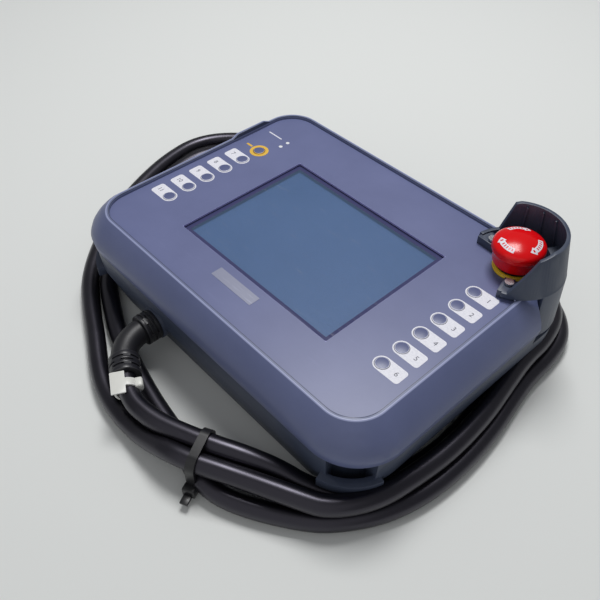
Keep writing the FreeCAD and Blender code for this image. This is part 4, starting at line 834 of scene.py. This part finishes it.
ribs, ribs_in = grower("ribs_round", [
    ("Count", "Int"), ("Radius", "Float"), ("Long", "Float"), ("Wide", "Float"), ("Deep", "Float"),
    ("Stagger", "Float")])
spot_number = put(ribs, "GeometryNodeInputIndex").outputs["Index"]
ring_line = put(ribs, "GeometryNodeMeshCircle", feeds={
    "Vertices": ribs_in["Count"], "Radius": ribs_in["Radius"]}).outputs["Mesh"]
one_rib = put(ribs, "GeometryNodeMeshCube", feeds={
    "Size": triple(ribs, ribs_in["Deep"], ribs_in["Long"], ribs_in["Wide"])}).outputs["Mesh"]
step_round = worked(ribs, "DIVIDE", 2 * math.pi, ribs_in["Count"])
rib_ring = set_on(ribs, ring_line, one_rib,
                  triple(ribs, z=worked(ribs, "MULTIPLY", spot_number, step_round)))
rib_rows = set_on(ribs, ribs_in["Geometry"], rib_ring,
                  triple(ribs, z=worked(ribs, "MULTIPLY", spot_number, ribs_in["Stagger"])))
handed_out(ribs, rib_rows, ribs_in["Finish"])


def ribbed(name, foot, axis, levels, count, radius, long, wide, deep, stagger, material):
    """Rings of small ribs round an axis, each ring turned a little from the one before."""
    mesh = grown(name, [(0, 0, level * MM) for level in levels], ribs, {
        "Count": count, "Radius": radius * MM, "Long": long * MM, "Wide": wide * MM, "Deep": deep * MM,
        "Stagger": math.radians(stagger), "Finish": material})
    turn = Vector(axis).to_track_quat("Z", "Y").to_matrix().to_4x4()
    mesh.transform(Matrix.Translation([n * MM for n in foot]) @ turn)
    return placed(name, mesh, material, "panel")


BOOT_WAY = (0.883, -0.469, 0)
ribbed("gland_bridges", foot=(-41, -92.5, 21), axis=(0, -1, 0), levels=(2.5, 4.5, 6.5), count=5, radius=8.75,
       long=4.2, wide=1.1, deep=1.2, stagger=36, material=gland_black)
ribbed("boot_bridges", foot=(-29.33, -120.93, 21), axis=BOOT_WAY, levels=(3.61, 6.5, 9.39), count=5,
       radius=8.15, long=3.8, wide=1.5, deep=1.2, stagger=36, material=gland_black)

# Cable: a round black jacket, in three loose turns round the panel from the boot to the plug behind
# it. The turns lie on the floor, apart from where one passes over another.
CABLE_RADIUS = 5.7
CABLE_ROUTE = [
    (-17.85, -127.03, 21), (-5.49, -133.6, 21),
    (14, -132, 20.4), (31, -125.8, 20.2), (47.5, -118.3, 20), (62, -110, 18.6), (78, -100.3, 13.8),
    (94, -94, 8.5), (110, -82, 5.7), (120, -56, 5.7), (124.3, -26, 5.7), (122.3, 4, 5.7), (117.5, 29, 5.7),
    (113.6, 52, 5.7), (113, 74.4, 5.7), (103.5, 92.8, 5.7), (82, 99, 5.7), (44, 95.5, 5.7), (0, 94.5, 5.7),
    (-46, 95, 5.7), (-94, 98, 5.7), (-140, 88, 5.7), (-168, 66, 5.7), (-180, 38, 5.7),
    (-172, 4, 5.7), (-150, -32, 5.7),
    (-129, -62, 5.7), (-108, -86.5, 5.7), (-84, -98, 5.7), (-61, -107.5, 5.7), (-42, -112.5, 5.7),
    (-22, -117, 5.7), (-4, -120.5, 5.7), (12, -122.5, 5.7), (26, -124.5, 5.7), (38, -127.6, 6.6),
    (50, -130.6, 8.1), (61, -130.2, 7), (72, -126.3, 5.7), (84, -120, 5.7), (94, -113.6, 5.7),
    (104, -106.5, 5.7), (114, -97.5, 5.7), (128, -76, 5.7), (135.2, -50, 5.7), (136.5, -22, 5.7),
    (134.2, 4, 5.7), (129.6, 28, 5.7), (126.2, 48, 5.7), (125.8, 68, 5.7), (121.8, 90, 5.7),
    (106, 107, 5.7), (80, 116, 5.7), (46, 125.5, 5.7), (8, 129.5, 5.7), (-34, 127.5, 5.7),
    (-80, 119, 5.7), (-132, 106, 5.7), (-174, 84, 5.7),
    (-195, 54, 5.7), (-191, 20, 5.7), (-178, -14, 5.7), (-161, -46, 5.7), (-139, -73, 5.9),
    (-115, -95.5, 6), (-91, -108.5, 6), (-68.5, -118.8, 6), (-46, -130.3, 6), (-29, -136.3, 6),
    (-12, -138.8, 6.5), (6, -139, 8), (21, -137.8, 12.5), (35, -135.6, 17.9), (47.5, -131.2, 18.8),
    (58, -125.4, 18.3), (70, -118.7, 17.3), (87, -110.4, 17.4), (100, -104, 17.4), (112, -97.5, 17.4),
    (124, -78, 16.8), (128.2, -53, 15.9), (130.4, -27, 15.7), (128.4, 3, 15.7), (123.6, 28.5, 15.7),
    (119.9, 50, 15.7), (119.4, 71, 15.7), (113, 92, 15.7), (100, 103.5, 15.7), (84, 108.5, 15.8),
    (60, 111, 13), (34, 112, 13)]
jacket, jacket_tree, jacket_shader = plain_material("cable_jacket", {
    "Specular IOR Level": 0.75, "Specular Tint": (0.86, 0.82, 1.0, 1.0)})
jacket_mottle = put(jacket_tree, "ShaderNodeGroup", {"node_tree": grain}, {
    "Grain Scale": 900.0, "Mottle Scale": 40.0}).outputs["Mottle"]
jacket_scuff = put(jacket_tree, "ShaderNodeGroup", {"node_tree": marks}, {"Amount": 0.25}).outputs["Scuff"]
jacket_base = blended(jacket_tree, jacket_mottle, tone(5, 5, 8), tone(10, 9, 13))
jacket_tree.links.new(blended(jacket_tree, jacket_scuff, jacket_base, tone(46, 45, 54)),
                      jacket_shader.inputs["Base Color"])
jacket_tree.links.new(ramped(jacket_tree, jacket_mottle, 0.3, 0.7, bottom=0.3, top=0.38),
                      jacket_shader.inputs["Roughness"])
cable_line = bpy.data.curves.new("cable", "CURVE")
cable_line.dimensions = "3D"
cable_line.bevel_depth = CABLE_RADIUS * MM
cable_line.bevel_resolution = 8
cable_line.resolution_u = 8
cable_line.use_fill_caps = True
strand = cable_line.splines.new("NURBS")
strand.points.add(len(CABLE_ROUTE) - 1)
for point, (x, y, z) in zip(strand.points, CABLE_ROUTE):
    point.co = (x * MM, y * MM, z * MM, 1.0)
strand.order_u = 3
strand.use_endpoint_u = True
cable_line.materials.append(jacket)
cable = stood("cable", cable_line)
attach(cable, "panel")
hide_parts("cable_turn_1", "cable_turn_2", "cable_turn_3")

# Marker tie: a white nylon band with a blank flag, drawn round the cable near the boot, with the
# small knob of its lock on top.
marker_white = moulded("marker_white", (214, 214, 208), (232, 232, 226), smooth=0.35, rough=0.5, scuffs=0.3)
marker = softened("marker_tie", marker_white, edge=0.3)


def block(name, middle, axes, sizes, edge, material):
    """A small block with rounded edges, its sides along three given directions."""
    form = bmesh.new()
    bmesh.ops.create_cube(form, size=1.0)
    turn = Matrix([Vector(axis).normalized() * (size * MM) for axis, size in zip(axes, sizes)]).transposed()
    form.transform(Matrix.Translation([n * MM for n in middle]) @ turn.to_4x4())
    form.normal_update()
    bmesh.ops.bevel(form, geom=form.verts[:] + form.edges[:], offset=edge * MM, segments=2, profile=0.5,
                    affect="EDGES")
    bmesh.ops.recalc_face_normals(form, faces=form.faces)
    mesh = meshed(form, name)
    smoothed(mesh, sharp=50)
    return placed(name, mesh, material, "panel")


MARKER_AXES = ((0.469, 0.883, 0), (0, 0, 1), BOOT_WAY)
marker_knob = block("marker_knob", middle=(-7.6, -124.9, 23.4), axes=MARKER_AXES, sizes=(4.6, 5.4, 6.4),
                    edge=1.1, material=marker_white)

# Coil tie: a black nylon tie drawn tight round the strands at the front, its head and the cut end of
# its tail low on the outside.
tie_black = moulded("tie_black", (20, 20, 22), (32, 32, 35), smooth=0.28, rough=0.42, scuffs=0.15)
TIE_WAY = Vector((1, 0.5, 0)).normalized()
TIE_ACROSS = Vector((0, 0, 1)).cross(TIE_WAY)
TIE_MIDDLE = Vector((48.3, -127.8, 0))
TIE_REACH, TIE_WIDTH, TIE_THICK, TIE_GAP = 40.0, 5.0, 1.3, 0.2
bare_line = cable_line.copy()
bare_line.bevel_depth = 0.0
cable_middle = stood("cable_middle", bare_line)
middle_line = [vertex.co / MM for vertex in settled(cable_middle).vertices]
bpy.data.objects.remove(cable_middle)
crossings = []
for before, after in zip(middle_line, middle_line[1:]):
    start, end = (before - TIE_MIDDLE).dot(TIE_WAY), (after - TIE_MIDDLE).dot(TIE_WAY)
    if start < 0 <= end and (before - TIE_MIDDLE).length < TIE_REACH:
        met = before.lerp(after, -start / (end - start))
        crossings.append(((met - TIE_MIDDLE).dot(TIE_ACROSS), met.z))


def drawn_tight(spots, radius, count=56):
    """Points along a line drawn tight round circles of one radius."""
    around = sorted(point for x, z in spots for point in round_line(x, z, radius, count))
    hull = []
    for ordered in (around, around[::-1]):
        side = []
        for point in ordered:
            while len(side) > 1 and (side[-1][0] - side[-2][0]) * (point[1] - side[-2][1]) <= (
                    side[-1][1] - side[-2][1]) * (point[0] - side[-2][0]):
                side.pop()
            side.append(point)
        hull += side[:-1]
    return hull


def tie_spot(across, height, along):
    """A point of the tie, from its own directions."""
    return (TIE_MIDDLE + TIE_ACROSS * across + Vector((0, 0, height)) + TIE_WAY * along) * MM


inner_line = drawn_tight(crossings, CABLE_RADIUS + TIE_GAP)
line_before = inner_line[-1:] + inner_line[:-1]
line_after = inner_line[1:] + inner_line[:1]
outer_line = []
for (x0, z0), (x, z), (x1, z1) in zip(line_before, inner_line, line_after):
    away = Vector((z1 - z0, x0 - x1)).normalized()
    outer_line.append((x + away.x * TIE_THICK, z + away.y * TIE_THICK))
band = bmesh.new()
band_rows = [[band.verts.new(tie_spot(x, z, along)) for x, z in line] for line, along in (
    (inner_line, -TIE_WIDTH / 2), (outer_line, -TIE_WIDTH / 2), (outer_line, TIE_WIDTH / 2),
    (inner_line, TIE_WIDTH / 2))]
for one, other in zip(band_rows, band_rows[1:] + band_rows[:1]):
    for i in range(len(one)):
        j = (i + 1) % len(one)
        band.faces.new((one[i], one[j], other[j], other[i]))
bmesh.ops.recalc_face_normals(band, faces=band.faces)
band_mesh = meshed(band, "coil_tie_band")
smoothed(band_mesh, sharp=40)
coil_tie = placed("coil_tie_band", band_mesh, tie_black, "panel")
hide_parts("coil_tie")
outer_edge = min(x for x, z in outer_line)
tie_axes = (TIE_ACROSS, (0, 0, 1), TIE_WAY)
head_middle = tie_spot(across=outer_edge - 1.6, height=5.2, along=0) / MM
tail_middle = tie_spot(across=outer_edge - 6.4, height=4.6, along=0.2) / MM
tie_head = block("coil_tie_head", middle=head_middle, axes=tie_axes, sizes=(5.0, 6.4, 7.2), edge=0.9,
                 material=tie_black)
tie_tail = block("coil_tie_tail", middle=tail_middle, axes=tie_axes, sizes=(6.4, 1.5, 4.6), edge=0.3,
                 material=tie_black)

# Plug: a round black shell with a ribbed coupling ring, moulded on the cable's far end, which lies
# behind the panel.
plug_black = moulded("plug_black", (30, 30, 33), (42, 42, 46), smooth=0.3, rough=0.45, scuffs=0.3)
plug = softened("cable_connector", plug_black, edge=0.4)
plug_ribs = ribbed("coupling_ribs", foot=(34, 112, 13.3), axis=(-0.999, 0.038, 0), levels=(36,), count=44,
                   radius=12.9, long=1.0, wide=12.0, deep=0.8, stagger=0, material=plug_black)

# Studio: a wide pale floor, a soft lamp overhead and a weak, very broad fill from the front.
# Its sizes are in metres.
FLOOR_RADIUS = 12.0
floor = bmesh.new()
bmesh.ops.create_circle(floor, cap_ends=True, segments=96, radius=FLOOR_RADIUS)
floor_mesh = meshed(floor, "studio_floor")
paper = plain_material("paper", {"Base Color": tone(226, 228, 226), "Roughness": 0.85})[0]
floor_mesh.materials.append(paper)
studio_floor = stood("studio_floor", floor_mesh)

for name, place, aim, size, power in (
        ("overhead", (-0.25, 0.35, 1.2), (0.0, 0.0, 0.0), 0.45, 10.8),
        ("fill", (0.5, -1.1, 0.8), (0.0, 0.0, 0.05), 2.2, 5.0)):
    light = bpy.data.lights.new(name, "AREA")
    light.shape = "SQUARE"
    light.size = size
    light.energy = power
    lamp = stood(name, light)
    lamp.location = place
    lamp.rotation_euler = (Vector(aim) - Vector(place)).to_track_quat("-Z", "Y").to_euler()
world = bpy.data.worlds.new("studio_air")
world.use_nodes = True
world.node_tree.nodes["Background"].inputs["Color"].default_value = (0.95, 0.97, 1.0, 1.0)
world.node_tree.nodes["Background"].inputs["Strength"].default_value = 0.22
scene.world = world
scene.view_settings.view_transform = "Standard"

# Camera: where the photograph was taken from, looking down over the panel's lower right corner.
# Its focal length was measured in pixels of the picture.
FOCAL_PIXELS, PICTURE_PIXELS, SENSOR_WIDTH = 716.5, 600, 36.0
CAMERA_PLACE = (0.2266, -0.2205, 0.3342)
CAMERA_SIGHT = Vector((-0.5135, 0.4688, -0.7188)).normalized()
lens = bpy.data.cameras.new("camera")
lens.sensor_width = SENSOR_WIDTH
lens.lens = FOCAL_PIXELS / PICTURE_PIXELS * SENSOR_WIDTH
camera = stood("camera", lens)
camera.location = CAMERA_PLACE
camera.rotation_euler = CAMERA_SIGHT.to_track_quat("-Z", "Y").to_euler()
scene.camera = camera

bpy.context.view_layer.update()
